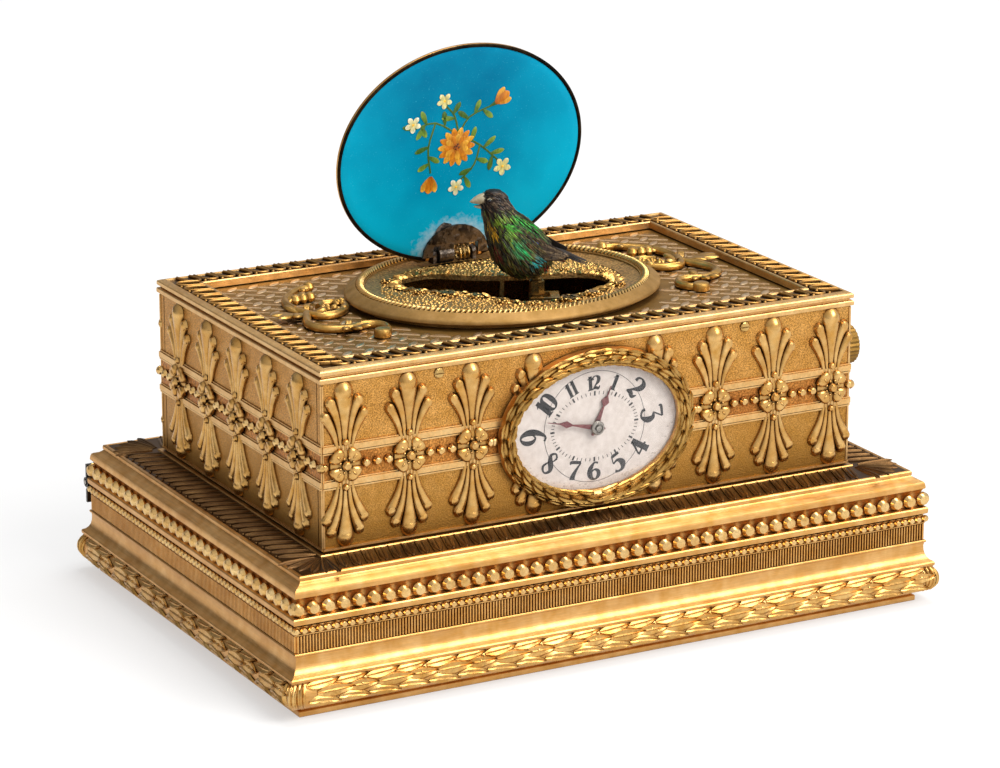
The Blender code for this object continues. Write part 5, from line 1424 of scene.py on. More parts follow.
@dataclass
class Window:
    """The oval bezel, its rope ring and the granulated grille round the bird's slot."""

    well: Pair = (31.2, 26.4)
    rope: Row = (32.4, 27.1, 71.0)
    rope_pitch: float = 1.12
    ground: float = 69.45
    lid_edge: float = 70.42
    squat: float = 0.985

    def nearer(self, form: Form) -> Form:
        """Draws the front half of an oval in.

        Args:
            form: the oval.

        Returns:
            The same form.
        """
        for point in form.points:
            if point.y < 0:
                point.y *= self.squat
        return form

    def bezel(self) -> None:
        """Makes the smooth flange and the twisted ring on it."""
        a, b = self.well
        profile = [
            (33.8, 27.6, 67.7), (33.8, 27.6, 68.6), (35.5, 29.3, 68.7), (36.0, 29.7, 69.0), (36.0, 29.7, 69.55),
            (35.7, 29.4, 69.85), (34.6, 28.6, 70.5), (33.8, 28.0, 71.05), (33.5, 27.8, 71.15), (33.2, 27.6, 70.9),
            (32.4, 27.0, 70.8), (a + 0.35, b + 0.35, 70.8), (a, b, 70.7), (a, b, 67.7),
        ]
        self.nearer(Form().ovals(profile)).fitted("bezel_flange", "case", FLANGE, "oval_bezel", sharp=50.0)
        twist = Form().sweep([(k * 0.55, k * 0.75, 0.25 - 0.4 * abs(k), w, h) for k, w, h in
                              ((-1, 0.22, 0.3), (0, 0.42, 0.52), (1, 0.22, 0.3))])
        a, b, z = self.rope
        line = [(a * u, b * v * (self.squat if v < 0 else 1), z) for u, v in around(160)]
        repeat("rope_ring", "case", ROPE, twist, rail([line], [UP], True), Pitch=self.rope_pitch * MM)
        profile = [(0, 69.4), (0, 70.35), (-0.65, 70.2), (-2.05, 69.85), (-3.65, 69.55), (-3.65, 69.4)]
        bank = Form().ovals([(31.25 + k, 26.45 + k, z) for k, z in profile])
        for point in bank.points:
            if abs(point.x) < 8.6 and point.y > 14:
                point.z = min(point.z, 69.55)
        self.nearer(bank).fitted("grille_bank", "case", GROUND)
        dress(GROUND, "bird_grille")

    def granules(self) -> None:
        """Covers the grille with grains, leaves and berried lumps, closest along the slot."""
        mesh, source = bpy.data.meshes.new("grille_top"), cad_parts["bird_grille"].data
        faces = [p for p in source.polygons if p.normal.z > 0.7]
        used = sorted({v for p in faces for v in p.vertices})
        index = {v: i for i, v in enumerate(used)}
        mesh.from_pydata([source.vertices[v].co for v in used], [], [[index[v] for v in p.vertices] for p in faces])
        ground = linked("grille_top", mesh)
        sizes = {"Gap": 0.00066, "Density": 3.4e6, "Smallest": 0.45, "Largest": 1.3, "Seed": 11}
        grain = bead((0.46, 0.42, 0.26), 6)
        repeat("grille_grains", "case", GRANULES, grain, ground, Spread.GROUND, **sizes)
        chance = random.Random(3)
        turn = Matrix.Rotation(BIRD_PLANE, 2)
        edge = [turn @ Vector(p) for p in smooth(SLOT, 8, True)]
        leaves, count = Roots(), len(edge)
        for i in range(0, count, 2):
            along = (edge[(i + 1) % count] - edge[i - 1]).normalized()
            out = Vector((along.y, -along.x))
            for k in range(2):
                spot = edge[i] + out * (0.55 + 1.15 * k + chance.uniform(-0.15, 0.2)) + along * chance.uniform(-0.4,
                                                                                                               0.4)
                if abs(spot.x) < 11 and spot.y > 19:
                    continue
                place = Vector((*spot, self.ground - 0.12 + chance.uniform(0.05, 0.35)))
                lean = math.atan2(out.y, out.x) + chance.uniform(-0.7, 0.7)
                tip = (0, chance.uniform(-0.5, 0.1), lean)
                leaves.plant(place, tip, (chance.uniform(0.7, 1.25) * (1.1 - 0.2 * k),) * 3)
        leaf = Form().sweep([(-0.8, 0, 0, 0.3, 0.3), (0.1, 0, 0.1, 0.72, 0.42), (1.1, 0, 0.15, 0.1, 0.2)], LEAF,
                            steps=2)
        leaves.cover("slot_leaves", "case", GRANULES, leaf)
        lumps = Form()
        for s, t, size in (
            (-12.5, -8.4, 1.9), (-6.5, -10.6, 1.5), (-1.0, -14.6, 1.4), (13.6, -13.6, 2.0), (18.8, -9.4, 1.6),
            (25.3, -1.8, 1.3), (-25.2, 3.0, 1.4), (-18.8, -6.2, 1.3), (22.6, 9.0, 1.2), (6.0, -17.2, 1.3),
            (-18.0, 11.6, 1.2), (14.0, 11.2, 1.2), (4.0, 10.4, 1.1),
        ):
            centre = turn @ Vector((s, t))
            for k in range(22):
                angle, level = k * 2.39996, (k + 0.5) / 22
                flat = size * math.sqrt(1 - level * level)
                spot = (centre.x + flat * math.cos(angle), centre.y + flat * math.sin(angle),
                        self.ground + size * 0.75 * level)
                lumps.ball(spot, (size * 0.26,) * 3, around(6))
            lumps.ball((*centre, self.ground), (size * 0.95, size * 0.95, size * 0.7))
        for point in lumps.points:
            point.z = min(point.z, self.lid_edge)
        lumps.fitted("grille_lumps", "case", GRANULES)

    def build(self) -> None:
        """Makes the bezel and the grille."""
        self.bezel()
        self.granules()


LID_PLACE = Matrix.Translation((0, 23.9, 71.4)) @ turned(-81, "X")


@dataclass
class Lid:
    """The lid, drawn shut about its pivot: a domed shell, an enamel panel and a painted spray."""

    half_x: float = 30.4
    half_y: float = 25.6
    inset: float = 23.9
    notch: float = 5.9
    notch_deep: float = 2.6
    under: float = -0.7

    def ovals(self, profile: Rows) -> Form:
        """Joins ovals about the lid's centre and holds them clear of the hinge.

        Args:
            profile: semi-axis, semi-axis and height of each.

        Returns:
            The solid.
        """
        form = Form().ovals(profile, 180, False)
        for point in form.points:
            point.y -= self.inset
            if abs(point.x) < self.notch:
                point.y = min(point.y, -self.notch_deep)
        return form

    @staticmethod
    def opened(rows: Rows) -> list[Row]:
        """Turns a ring of rows so that it starts after its widest gap."""
        start = max(range(len(rows)), key=lambda i: (Vector(rows[i][:3]) - Vector(rows[i - 1][:3])).length)
        return [*rows[start:], *rows[:start]]

    def shell(self) -> None:
        """Makes the rim and dome, with two engraved lines on the outside."""
        a, b, low = self.half_x, self.half_y, self.under
        profile = [
            (a - 0.72, b - 0.72, low + 0.8), (a - 0.72, b - 0.72, low + 0.06), (a - 0.6, b - 0.6, low),
            (a - 0.15, b - 0.15, low + 0.02), (a, b, low + 0.25), (a, b, low + 0.8), (a - 0.2, b - 0.2, low + 1.15),
            (a - 0.8, b - 0.8, low + 1.42), (a * 0.85, b * 0.85, low + 1.85), (a * 0.66, b * 0.66, low + 2.25),
            (a * 0.45, b * 0.45, low + 2.5), (a * 0.2, b * 0.2, low + 2.6), (a * 0.02, b * 0.02, low + 2.62),
        ]
        self.ovals(profile).placed(LID_PLACE).fitted("lid_shell", "bird_lid", GILT, "lid", sharp=50.0)
        rim = Form()
        for share in (0.9, 0.86):
            level = low + 1.72 + (0.9 - share) * 3
            rows = [(a * share * u, b * share * v - self.inset, level, 0.16, 0.16) for u, v in around(120)]
            rim.sweep(self.opened([row for row in rows if row[1] < -self.notch_deep - 0.5]), around(6), steps=1)
        rim.placed(LID_PLACE).fitted("lid_lines", "bird_lid", RELIEF)
        rows = [((a - 0.38) * u, (b - 0.38) * v - self.inset, low + 0.1, 0.42, 0.2) for u, v in around(160)]
        edge = Form().sweep(self.opened([row for row in rows if abs(row[0]) > 6.6 or row[1] < -10]), steps=1)
        edge.placed(LID_PLACE).fitted("lid_black_rim", "bird_lid", RIM)

    def enamel(self) -> None:
        """Makes the enamel panel in the lid's inside."""
        a, b, low = self.half_x - 0.78, self.half_y - 0.78, self.under
        profile = [(a * share, b * share, low + up) for share, up in ((0.02, 0.02), (0.6, 0.03), (0.93, 0.06))]
        profile += [(a - 0.2, b - 0.2, low + 0.1), (a, b, low + 0.2), (a, b, low + 0.5)]
        self.ovals(profile).placed(LID_PLACE).fitted("enamel", "bird_lid", TURQUOISE, "lid_enamel_panel")

    def spray(self) -> None:
        """Paints a spray of its own: a daisy, two tulips, small blossoms and willow leaves on bent stems."""
        form = Form()
        layer = self.under - 0.03

        def stroke(points: Rows, tints: Sequence[Tint], rise: float) -> None:
            """Adds a brush stroke of (x, y, half width) at a layer."""
            form.sweep([(x, y, layer - rise, w, 0.035) for x, y, w in points], around(6), steps=3, tints=tints)

        def petal(x: float, y: float, angle: float, length: float, wide: float, tints: Sequence[Tint],
                  rise: float) -> None:
            """Adds a petal or a leaf that starts at a point."""
            u, v = math.cos(math.radians(angle)), math.sin(math.radians(angle))
            stroke([(x + u * length * k, y + v * length * k, wide * w) for k, w in
                    ((0, 0.3), (0.35, 0.85), (0.7, 1.0), (0.92, 0.55), (1.0, 0.1))], tints, rise)

        green, lime, olive = colour("2f5a22"), colour("8aa63c"), colour("4c6b24")
        amber, gold, rust = colour("d98a1e"), colour("f0b63c"), colour("9a4e10")
        cream, white = colour("e9e3ae"), colour("f4f2dc")
        cx, cy = -1.0, -26.5
        stems = (
            ((-10.8, -4.6), (-6.0, -5.4), (0.0, -2.0), (5.5, 1.0), (10.6, 5.4)),
            ((-6.0, -5.4), (-7.4, 0.5), (-6.4, 6.4)), ((0.0, -2.0), (2.4, -6.0), (7.6, -8.0)),
            ((5.5, 1.0), (4.4, 5.6), (1.0, 9.0)), ((0.0, -2.0), (-1.4, -6.6), (-3.6, -9.0)),
        )
        for stem in stems:
            stroke([(cx + x, cy + y, 0.22) for x, y in stem], (olive, green), 0.0)
        leaves = (
            (-10.6, -4.6, 190, 3.6), (-8.6, -5.2, 120, 3.8), (-8.2, -5.3, 245, 3.6), (-7.3, 0.0, 160, 3.6),
            (-7.2, 2.4, 30, 3.2), (-6.9, 4.0, 150, 3.2), (2.2, -5.6, 215, 3.4), (3.6, -6.6, 290, 3.4),
            (5.6, -7.4, 40, 3.4), (7.4, -8.0, 335, 3.8), (6.4, 1.8, 320, 3.8), (8.2, 3.4, 350, 3.6),
            (8.8, 4.0, 100, 3.4), (10.4, 5.4, 40, 3.6), (4.9, 4.2, 20, 3.2), (4.0, 6.4, 160, 3.4), (2.2, 8.2, 60, 3.2),
            (-1.2, -6.0, 185, 3.4), (-1.8, -7.0, 300, 3.2), (-3.4, -8.8, 240, 3.6), (3.2, 0.0, 285, 3.6),
            (-3.6, -4.6, 262, 3.4), (-9.6, -4.9, 60, 3.0), (1.2, 8.8, 130, 3.0),
        )
        for i, (x, y, angle, size) in enumerate(leaves):
            petal(cx + x, cy + y, angle, size, 0.62, (green, lime if i % 3 else olive), 0.03)
        x, y, size = cx - 0.4, cy + 0.8, 4.6
        for ring, (count, reach, start) in enumerate(((14, 1.0, 0.0), (11, 0.66, 14.0))):
            for k in range(count):
                tints = (rust, gold) if (k + ring) % 2 else (rust, amber)
                petal(x, y, start + k * 360 / count, size * reach, size * 0.17, tints, 0.06 + 0.03 * ring)
        for k in range(12):
            out = 0.75 * (k / 12) ** 0.5
            spot = (x + out * math.cos(k * 2.4), y + out * math.sin(k * 2.4), layer - 0.12)
            form.ball(spot, (0.28, 0.28, 0.06), around(6), rust if k % 2 else colour("5a2c08"))
        for x, y, angle in ((-6.3, 7.2, 96), (8.6, -8.6, 325)):
            for spread, wide in ((-26, 0.85), (26, 0.85), (0, 1.15)):
                petal(cx + x, cy + y, angle + spread, 4.0, wide, (rust, gold if spread else amber),
                      0.06 + 0.02 * (spread == 0))
        for x, y, size, paint in ((-11.6, -5.6, 2.0, white), (11.6, 6.8, 2.2, cream), (0.2, 10.4, 2.0, white),
                                  (-4.2, -10.4, 1.9, cream)):
            for k in range(5):
                petal(cx + x, cy + y, 18 + k * 72, size, size * 0.3, (colour("b8b060"), paint), 0.07)
            form.ball((cx + x, cy + y, layer - 0.1), (0.34, 0.34, 0.06), around(6), gold)
        form.placed(LID_PLACE).fitted("painted_spray", "bird_lid", PAINT, tinted=True)

    def build(self) -> None:
        """Makes the lid and dresses its hinge."""
        self.shell()
        self.enamel()
        self.spray()
        rows = [
            (-2.6, -2.9, -0.95, 2.2, 0.4), (-2.9, -4.2, -0.95, 2.6, 0.4), (-2.6, -6.2, -0.9, 2.2, 0.4),
            (-2.2, -7.6, -0.8, 1.0, 0.25),
        ]
        arm = Form().sweep(rows, FINE_ROUND, steps=5)
        arm.placed(LID_PLACE).fitted("hinge_arm", "bird_lid", CRACKLED)
        dress(CRACKLED, "lid_hinge_lug", "lid_hinge_bracket")
        dress(BRASS, "lid_hinge_pin", "lid_spring")


@dataclass
class Bird:
    """The feathered bird on its pivot, in its own plane: along, across and height above the fold pin."""

    sections: Rows = (
        (5.4, 3.0, 5.4, 1.2), (6.4, 1.2, 8.0, 3.1), (7.8, -0.6, 9.8, 4.3), (9.7, -2.0, 10.6, 4.9),
        (12.1, -2.9, 10.6, 5.1), (14.5, -3.5, 9.2, 4.9), (16.7, -3.9, 7.2, 4.4), (18.7, -4.2, 5.0, 3.8),
        (20.7, -4.7, 2.6, 3.3), (22.5, -4.9, 1.4, 3.0), (24.1, -4.5, 0.6, 2.5), (25.1, -3.5, -0.4, 1.4),
    )
    patches: Sequence[tuple[Row, float, str]] = (
        ((-3.4, -2.6, 18.0), 1.3, "d8a018"), ((-2.8, -3.4, 16.6), 1.0, "d8a018"), ((-3.0, -3.4, 13.6), 1.3, "8a1418"),
        ((-2.2, -3.4, 11.2), 1.2, "7a1014"), ((3.4, -5.0, 12.9), 1.3, "14b060"), ((6.0, -5.0, 11.0), 1.1, "28b0b0"),
        ((-1.0, -3.0, 19.4), 1.6, "7a9a24"), ((0.8, -3.4, 18.2), 1.7, "4aa030"), ((0.4, -4.0, 16.0), 1.6, "6a8a24"),
        ((2.4, -3.0, 19.0), 1.5, "2fa63a"), ((5.2, -1.6, 17.4), 1.9, "10b030"), ((2.2, -4.4, 14.6), 1.5, "2a9a58"),
        ((0.2, 2.8, 19.0), 2.2, "3f9a3a"), ((2.0, 4.0, 16.0), 2.4, "2a8434"), ((0.4, -4.6, 9.6), 1.4, "6a5a1c"),
        ((-4.3, 0.0, 19.6), 1.3, "a8875c"), ((9.8, -2.4, 8.6), 1.0, "b02418"), ((4.8, 4.8, 12.6), 1.5, "18a25c"),
    )
    place: Matrix = field(default_factory=lambda: Matrix.Translation((
        math.sin(-BIRD_PLANE), math.cos(BIRD_PLANE), 65.5)) @ Matrix.Rotation(BIRD_PLANE, 4, "Z"))

    def skin(self, height: float, turn: float) -> Vector:
        """Finds a point of the body's surface.

        Args:
            height: its height over the fold pin.
            turn: its angle round the body, in radians.

        Returns:
            The point.
        """
        for low, high in zip(self.sections, self.sections[1:]):
            if height <= high[0]:
                break
        share = min(max((height - low[0]) / (high[0] - low[0]), 0.0), 1.0)
        front, back, wide = (low[k] + (high[k] - low[k]) * share for k in (1, 2, 3))
        middle, half = (front + back) / 2, (back - front) / 2
        return Vector((middle + half * math.cos(turn), wide * math.sin(turn), height))

    def shade(self, spot: Vector, chance: random.Random) -> Tint:
        """Picks the colour of the feather at a point.

        Args:
            spot: the point.
            chance: where its luck comes from.

        Returns:
            The colour.
        """
        base = Vector(colour(chance.choice(("33281a", "1c150e", "4c4022", "2c3a1a", "4a3418", "5a5a26"))))
        if spot.z > 21.4:
            base = Vector(colour(chance.choice(("2c2018", "15110e", "4a3a2c", "5c4c3a", "3c2a20"))))
        for centre, reach, paint in self.patches:
            far = (spot - Vector(centre)).length / reach
            if far < 1.6 and chance.random() < 0.75:
                share = min(1.0, max(0.0, 1.7 - far * 1.15)) * chance.uniform(0.45, 1.0)
                base = base.lerp(Vector(colour(paint)), share)
        return tuple(base * chance.uniform(0.7, 1.25))

    def laid(self, lie: Vector, normal: Vector) -> Row:
        """Turns a strand.

        Args:
            lie: the direction in which it points.
            normal: the way that its back faces.

        Returns:
            Its three angles in radians.
        """
        up, turn = (normal - lie * normal.dot(lie)).normalized(), self.place.to_3x3()
        return tuple(Matrix((turn @ lie, turn @ up.cross(lie), turn @ up)).transposed().to_euler())

    @staticmethod
    def strand() -> Form:
        """Draws one strand of a feather, a millimetre long."""
        rows = [(0, 0, 0, 0.12, 0.05), (0.5, 0, 0.04, 0.2, 0.07), (1.0, 0, 0.0, 0.03, 0.02)]
        return Form().sweep(rows, around(4), steps=1)

    def body(self) -> None:
        """Makes the body's skin, its feathers and its eyes."""
        rings = []
        for height, front, back, wide in smooth([(s[0], s[1] + 0.1, s[2] - 0.1, s[3] - 0.1) for s in self.sections], 3):
            rings.append([((front + back) / 2 + (back - front) / 2 * u, wide * v, height) for u, v in around(28)])
        skin = Form().loft(rings, (colour("1c150e"),)).placed(self.place)
        skin.fitted("bird_skin", "bird", PLUMAGE, "bird_body", tinted=True)
        chance, roots = random.Random(21), Roots()
        height = 5.9
        while height < 24.9:
            ring = self.skin(height, 0) - self.skin(height, math.pi)
            girth = math.pi * (abs(ring.x) / 2 + abs(self.skin(height, math.pi / 2).y))
            head = height > 20.8
            count = max(5, int(girth / (0.5 if head else 0.58)))
            for k in range(count):
                angle = 2 * math.pi * (k + chance.random()) / count
                level = height + chance.uniform(-0.25, 0.25)
                spot = self.skin(level, angle)
                side = (self.skin(level, angle + 0.05) - self.skin(level, angle - 0.05)).normalized()
                climb = (self.skin(level + 0.3, angle) - self.skin(level - 0.3, angle)).normalized()
                normal = side.cross(climb).normalized()
                lie = Vector((0.95, 0.0, -0.55)) if head else Vector((0.6, 0.0, -0.9))
                lie = (lie + Vector((0, 0.25 * math.sin(angle), 0)) + side * chance.uniform(-0.25, 0.25))
                lie = (lie - normal * lie.dot(normal)).normalized()
                lie = (lie + normal * (0.1 if head else 0.13)).normalized()
                length = (1.1 if head else 2.3) * chance.uniform(0.8, 1.2)
                if height < 8.4:
                    length *= 0.75
                roots.plant(
                    self.place @ (spot - normal * 0.04), self.laid(lie, normal),
                    (length, chance.uniform(0.75, 1.2), 1.0), self.shade(spot, chance),
                )
            height += 0.42 if head else 0.62
        roots.cover("bird_feathers", "bird", PLUMAGE, self.strand())
        eyes, eye_rings_and_glints = Form(), Form()
        for side in (-1, 1):
            eyes.ball((-3.0, side * 2.5, 23.3), (0.5, 0.42, 0.5), FINE_ROUND)
            # A pale arc over each eye's top: partly an eye ring, partly a painted glint on the glossy bead
            rows = [(-3.0 + 0.55 * u, side * 2.55, 23.3 + 0.5 * v, 0.09, 0.09) for u, v in around(12) if v > 0.4]
            eye_rings_and_glints.sweep(rows, around(6), Vector((0, 1, 0)), steps=1)
        eyes.placed(self.place).fitted("bird_eyes", "bird", EYE)
        eye_rings_and_glints.placed(self.place).fitted("bird_eye_rings", "bird", HORN)
        rows = [
            (-2.9, 0, 23.1, 1.95, 1.3), (-4.3, 0, 23.15, 1.8, 1.3), (-5.6, 0, 22.95, 1.2, 0.95),
            (-6.6, 0, 22.7, 0.6, 0.5), (-7.2, 0, 22.55, 0.12, 0.12),
        ]
        beak = Form().sweep(rows, FINE_ROUND, steps=4)
        beak.placed(self.place).fitted("beak_upper_half", "bird", HORN, "upper_beak")
        nut, spot = Form(), Matrix.Translation((7.15, -2.2, 0)) @ Matrix.Rotation(0.3, 4, "Z")
        for size, low, high in ((1.75, 67.0, 70.3), (1.3, 70.3, 70.9)):
            rows = ((size * 0.9, low), (size, low + 0.2), (size, high - 0.2), (size * 0.88, high))
            nut.ovals([(r, r, z) for r, z in rows], 6, False)
        nut.placed(spot).fitted("stand_collar", "stand", BRASS, sharp=20.0)

    def wing(self, name: str, side: int) -> None:
        """Makes one folded wing of quills, with coverts over their roots.

        Args:
            name: the wing's CAD node.
            side: -1 for the left, 1 for the right.
        """
        upper = ((0.2, 18.9), (3.4, 18.1), (6.8, 16.1), (9.8, 13.9), (12.2, 12.5), (14.6, 11.1))
        lower = ((-0.8, 15.1), (1.6, 12.1), (4.6, 10.3), (7.8, 9.7), (10.8, 9.9), (14.0, 9.9))
        form, chance = Form(), random.Random(40 + side)

        def lying(share: float, along: float) -> Vector:
            """Finds a point of the wing.

            Args:
                share: how far it is from the upper edge to the lower.
                along: how far from the shoulder to the tip.

            Returns:
                The point.
            """
            place = along * (len(upper) - 1)
            i = min(int(place), len(upper) - 2)
            top, low = between(upper[i], upper[i + 1], place - i), between(lower[i], lower[i + 1], place - i)
            s, h = between(top, low, share)
            body = self.skin(min(max(h, 6.5), 24.0), math.pi / 2)
            ring = [self.skin(min(max(h, 6.5), 24.0), t) for t in (0, math.pi)]
            middle, half = (ring[0].x + ring[1].x) / 2, (ring[0].x - ring[1].x) / 2
            off = 1 - min(1.0, ((s - middle) / half) ** 2)
            across = max(abs(body.y) * math.sqrt(off), 3.0 - 0.5 * along) + 0.45
            return Vector((s, side * across, h))

        under = [[lying(share, along) for share in (0.04, 0.3, 0.6, 0.96)] for along in (0.02, 0.2, 0.4, 0.6, 0.8,
                                                                                         0.98)]
        rings = [[*row, *(point + Vector((0, side * 0.25, 0)) for point in reversed(row))] for row in under]
        form.loft(rings, (colour("1d1712"),))
        dark, brown, tan, blue = colour("201812"), colour("4a3826"), colour("9a8260"), colour("2c54a0")
        for k in range(9):
            share = 0.06 + 0.11 * k
            rows = []
            for along, wide in ((0.28, 0.35), (0.5, 0.55), (0.75, 0.5), (0.93, 0.34), (1.0 - 0.02 * k, 0.06)):
                spot = lying(share + (0.5 - share) * 0.35 * along, along)
                rows.append((spot.x, spot.y + side * (0.3 + 0.02 * k), spot.z, wide, 0.11))
            form.sweep(rows, LEAF, Vector((0, side, 0)), steps=2, tints=(dark, tan if k % 3 == 1 else brown))
        for band, (start, reach,
                   wide) in enumerate(((0.34, 0.26, 0.42), (0.2, 0.24, 0.4), (0.06, 0.24, 0.38), (0.0, 0.18, 0.3))):
            for k in range(9):
                share = 0.05 + 0.11 * k + chance.uniform(-0.02, 0.02)
                rows = []
                for step, size in ((0, 0.5), (0.5, 1.0), (1.0, 0.12)):
                    spot = lying(min(share, 0.97), min(start + reach * step, 1.0))
                    rows.append((spot.x, spot.y + side * (0.42 + 0.05 * band), spot.z, wide * size, 0.09))
                tip = blue if band == 0 and 2 <= k <= 4 else chance.choice((brown, tan, colour("5a5a2a"),
                                                                            colour("2c5a2c")))
                form.sweep(rows, LEAF, Vector((0, side, 0)), steps=2, tints=(dark, tip))
        form.placed(self.place).fitted(f"{name}_feathers", name, QUILLS, name, tinted=True)
        coverts, out = Roots(), Vector((0, side, 0))
        for _ in range(420):
            share, along = chance.uniform(0.0, 0.97), chance.uniform(0.0, 0.5)
            spot = lying(share, along)
            lie = (lying(share, along + 0.06) - spot).normalized()
            lie = (lie + Vector((0, side * 0.1, -0.55 + 0.3 * chance.random()))).normalized()
            coverts.plant(
                self.place @ (spot + out * chance.uniform(0.45, 0.8)), self.laid(lie, out),
                (2.6 * chance.uniform(0.7, 1.2), chance.uniform(0.8, 1.3), 1.0),
                self.shade(Vector((spot.x, -abs(spot.y), spot.z)), chance),
            )
        coverts.cover(f"{name}_coverts", name, PLUMAGE, self.strand())

    def tail(self) -> None:
        """Makes the fan of long tail feathers."""
        form = Form()
        dark, brown, red = colour("15110f"), colour("3c2e24"), colour("8a2018")
        for k, lean in enumerate((-1.0, 1.0, -0.6, 0.6, -0.2, 0.2)):
            rise = 0.14 * k
            rows = [
                (11.2, lean * 1.2, 11.2 + rise, 0.5, 0.14), (13.6, lean * 1.5, 10.4 + rise, 0.75, 0.14),
                (16.2, lean * 1.6, 9.3 + rise * 0.8, 0.62, 0.12), (18.3, lean * 1.65, 8.5 + rise * 0.7, 0.1, 0.08),
            ]
            form.sweep(rows, LEAF, UP, steps=3, tints=(dark, brown if k % 2 else dark))
        for lean in (-0.8, 0.0, 0.8):
            form.sweep([(11.2, lean, 9.9, 0.4, 0.2), (12.6, lean, 9.2, 0.4, 0.16), (13.6, lean, 8.9, 0.08, 0.08)], LEAF,
                       steps=2, tints=(dark, red))
        form.placed(self.place).fitted("tail_feathers", "tail", QUILLS, "tail", tinted=True)

    def build(self) -> None:
        """Makes the bird and dresses its beak, stand and carriage."""
        self.body()
        self.wing("left_wing", -1)
        self.wing("right_wing", 1)
        self.tail()
        dress(HORN, "lower_beak")
        dress(BRASS, "bird_stand", "bird_carriage")
        dress(STEEL, "fold_pin")


FIGURES: dict[str, Sequence[Rows]] = {
    "0": (((0, 0.47, 0.04), (-0.26, 0.34, 0.1), (-0.34, 0, 0.14), (-0.26, -0.34, 0.1), (0, -0.47, 0.04),
           (0.26, -0.34, 0.1), (0.34, 0, 0.14), (0.26, 0.34, 0.1), (0, 0.47, 0.04)),),
    "1": (((0.02, 0.5, 0.12), (0.02, -0.47, 0.12)), ((-0.3, 0.28, 0.02), (-0.12, 0.36, 0.04), (0.0, 0.48, 0.06)),
          ((-0.26, -0.47, 0.03), (0.3, -0.47, 0.03))),
    "2": (((-0.32, 0.2, 0.08), (-0.3, 0.38, 0.05), (0, 0.47, 0.04), (0.28, 0.32, 0.12), (0.24, 0.08, 0.12),
           (-0.08, -0.18, 0.05), (-0.36, -0.42, 0.03)),
           ((-0.36, -0.42, 0.04), (-0.08, -0.36, 0.1), (0.2, -0.44, 0.08), (0.38, -0.26, 0.02))),
    "3": (((-0.32, 0.34, 0.02), (-0.3, 0.44, 0.06), (0.34, 0.44, 0.05)), ((0.34, 0.44, 0.03), (-0.04, 0.08, 0.03)),
          ((-0.04, 0.08, 0.03), (0.26, 0.02, 0.1), (0.32, -0.22, 0.13), (0.06, -0.46, 0.05), (-0.28, -0.4, 0.05),
           (-0.34, -0.26, 0.07))),
    "4": (((0.1, 0.48, 0.05), (-0.38, -0.18, 0.03)), ((-0.4, -0.2, 0.04), (0.4, -0.2, 0.04)),
          ((0.12, 0.48, 0.12), (0.12, -0.47, 0.12)), ((-0.08, -0.47, 0.03), (0.32, -0.47, 0.03))),
    "5": (((-0.2, 0.42, 0.07), (0.32, 0.45, 0.06)), ((-0.2, 0.44, 0.025), (-0.25, 0.04, 0.025)),
          ((-0.25, 0.04, 0.03), (0.08, 0.12, 0.06), (0.32, -0.12, 0.13), (0.22, -0.38, 0.09), (-0.05, -0.47, 0.04),
           (-0.32, -0.36, 0.07))),
    "6": (((0.28, 0.42, 0.05), (0.02, 0.46, 0.04), (-0.26, 0.16, 0.11), (-0.32, -0.16, 0.13), (-0.18, -0.4, 0.08),
           (0.06, -0.47, 0.04), (0.28, -0.3, 0.09), (0.28, -0.06, 0.09), (0.04, 0.08, 0.04), (-0.22, -0.06, 0.03)),),
    "7": (((-0.34, 0.3, 0.02), (-0.3, 0.42, 0.07), (0.36, 0.43, 0.06)),
          ((0.36, 0.42, 0.03), (0.1, 0.05, 0.06), (-0.06, -0.28, 0.11), (-0.08, -0.47, 0.13))),
    "8": (((0.26, 0.34, 0.05), (0.02, 0.47, 0.04), (-0.24, 0.32, 0.07), (-0.08, 0.1, 0.12), (0.2, -0.1, 0.13),
           (0.3, -0.3, 0.08), (0.02, -0.47, 0.04), (-0.3, -0.3, 0.06), (-0.18, -0.06, 0.04), (0.14, 0.14, 0.03),
           (0.26, 0.34, 0.05)),),
}
FIGURES["9"] = tuple(tuple((-x, -y, w) for x, y, w in line) for line in FIGURES["6"])

HOURS = (
    # figure, x, height from the middle, turn in degrees, figure's width and height
    ("12", -0.4, 9.6, 4, 2.3, 3.1), ("1", 4.9, 9.0, -24, 2.4, 3.4), ("2", 10.1, 7.2, -50, 3.6, 4.6),
    ("3", 14.0, 0.9, -82, 3.6, 5.6), ("4", 10.9, -6.1, 60, 3.8, 4.6), ("5", 5.6, -8.9, 24, 3.6, 4.3),
    ("6", 0.0, -9.9, 2, 3.4, 3.9), ("7", -4.8, -9.2, -10, 3.5, 4.3), ("8", -10.8, -6.6, -38, 3.3, 5.0),
    ("9", -14.8, -0.4, 88, 3.7, 6.4), ("10", -11.7, 6.2, 50, 2.9, 4.6), ("11", -5.6, 8.9, 26, 2.1, 3.3),
)
DIAL_PLACE = facing(0, 48.2)


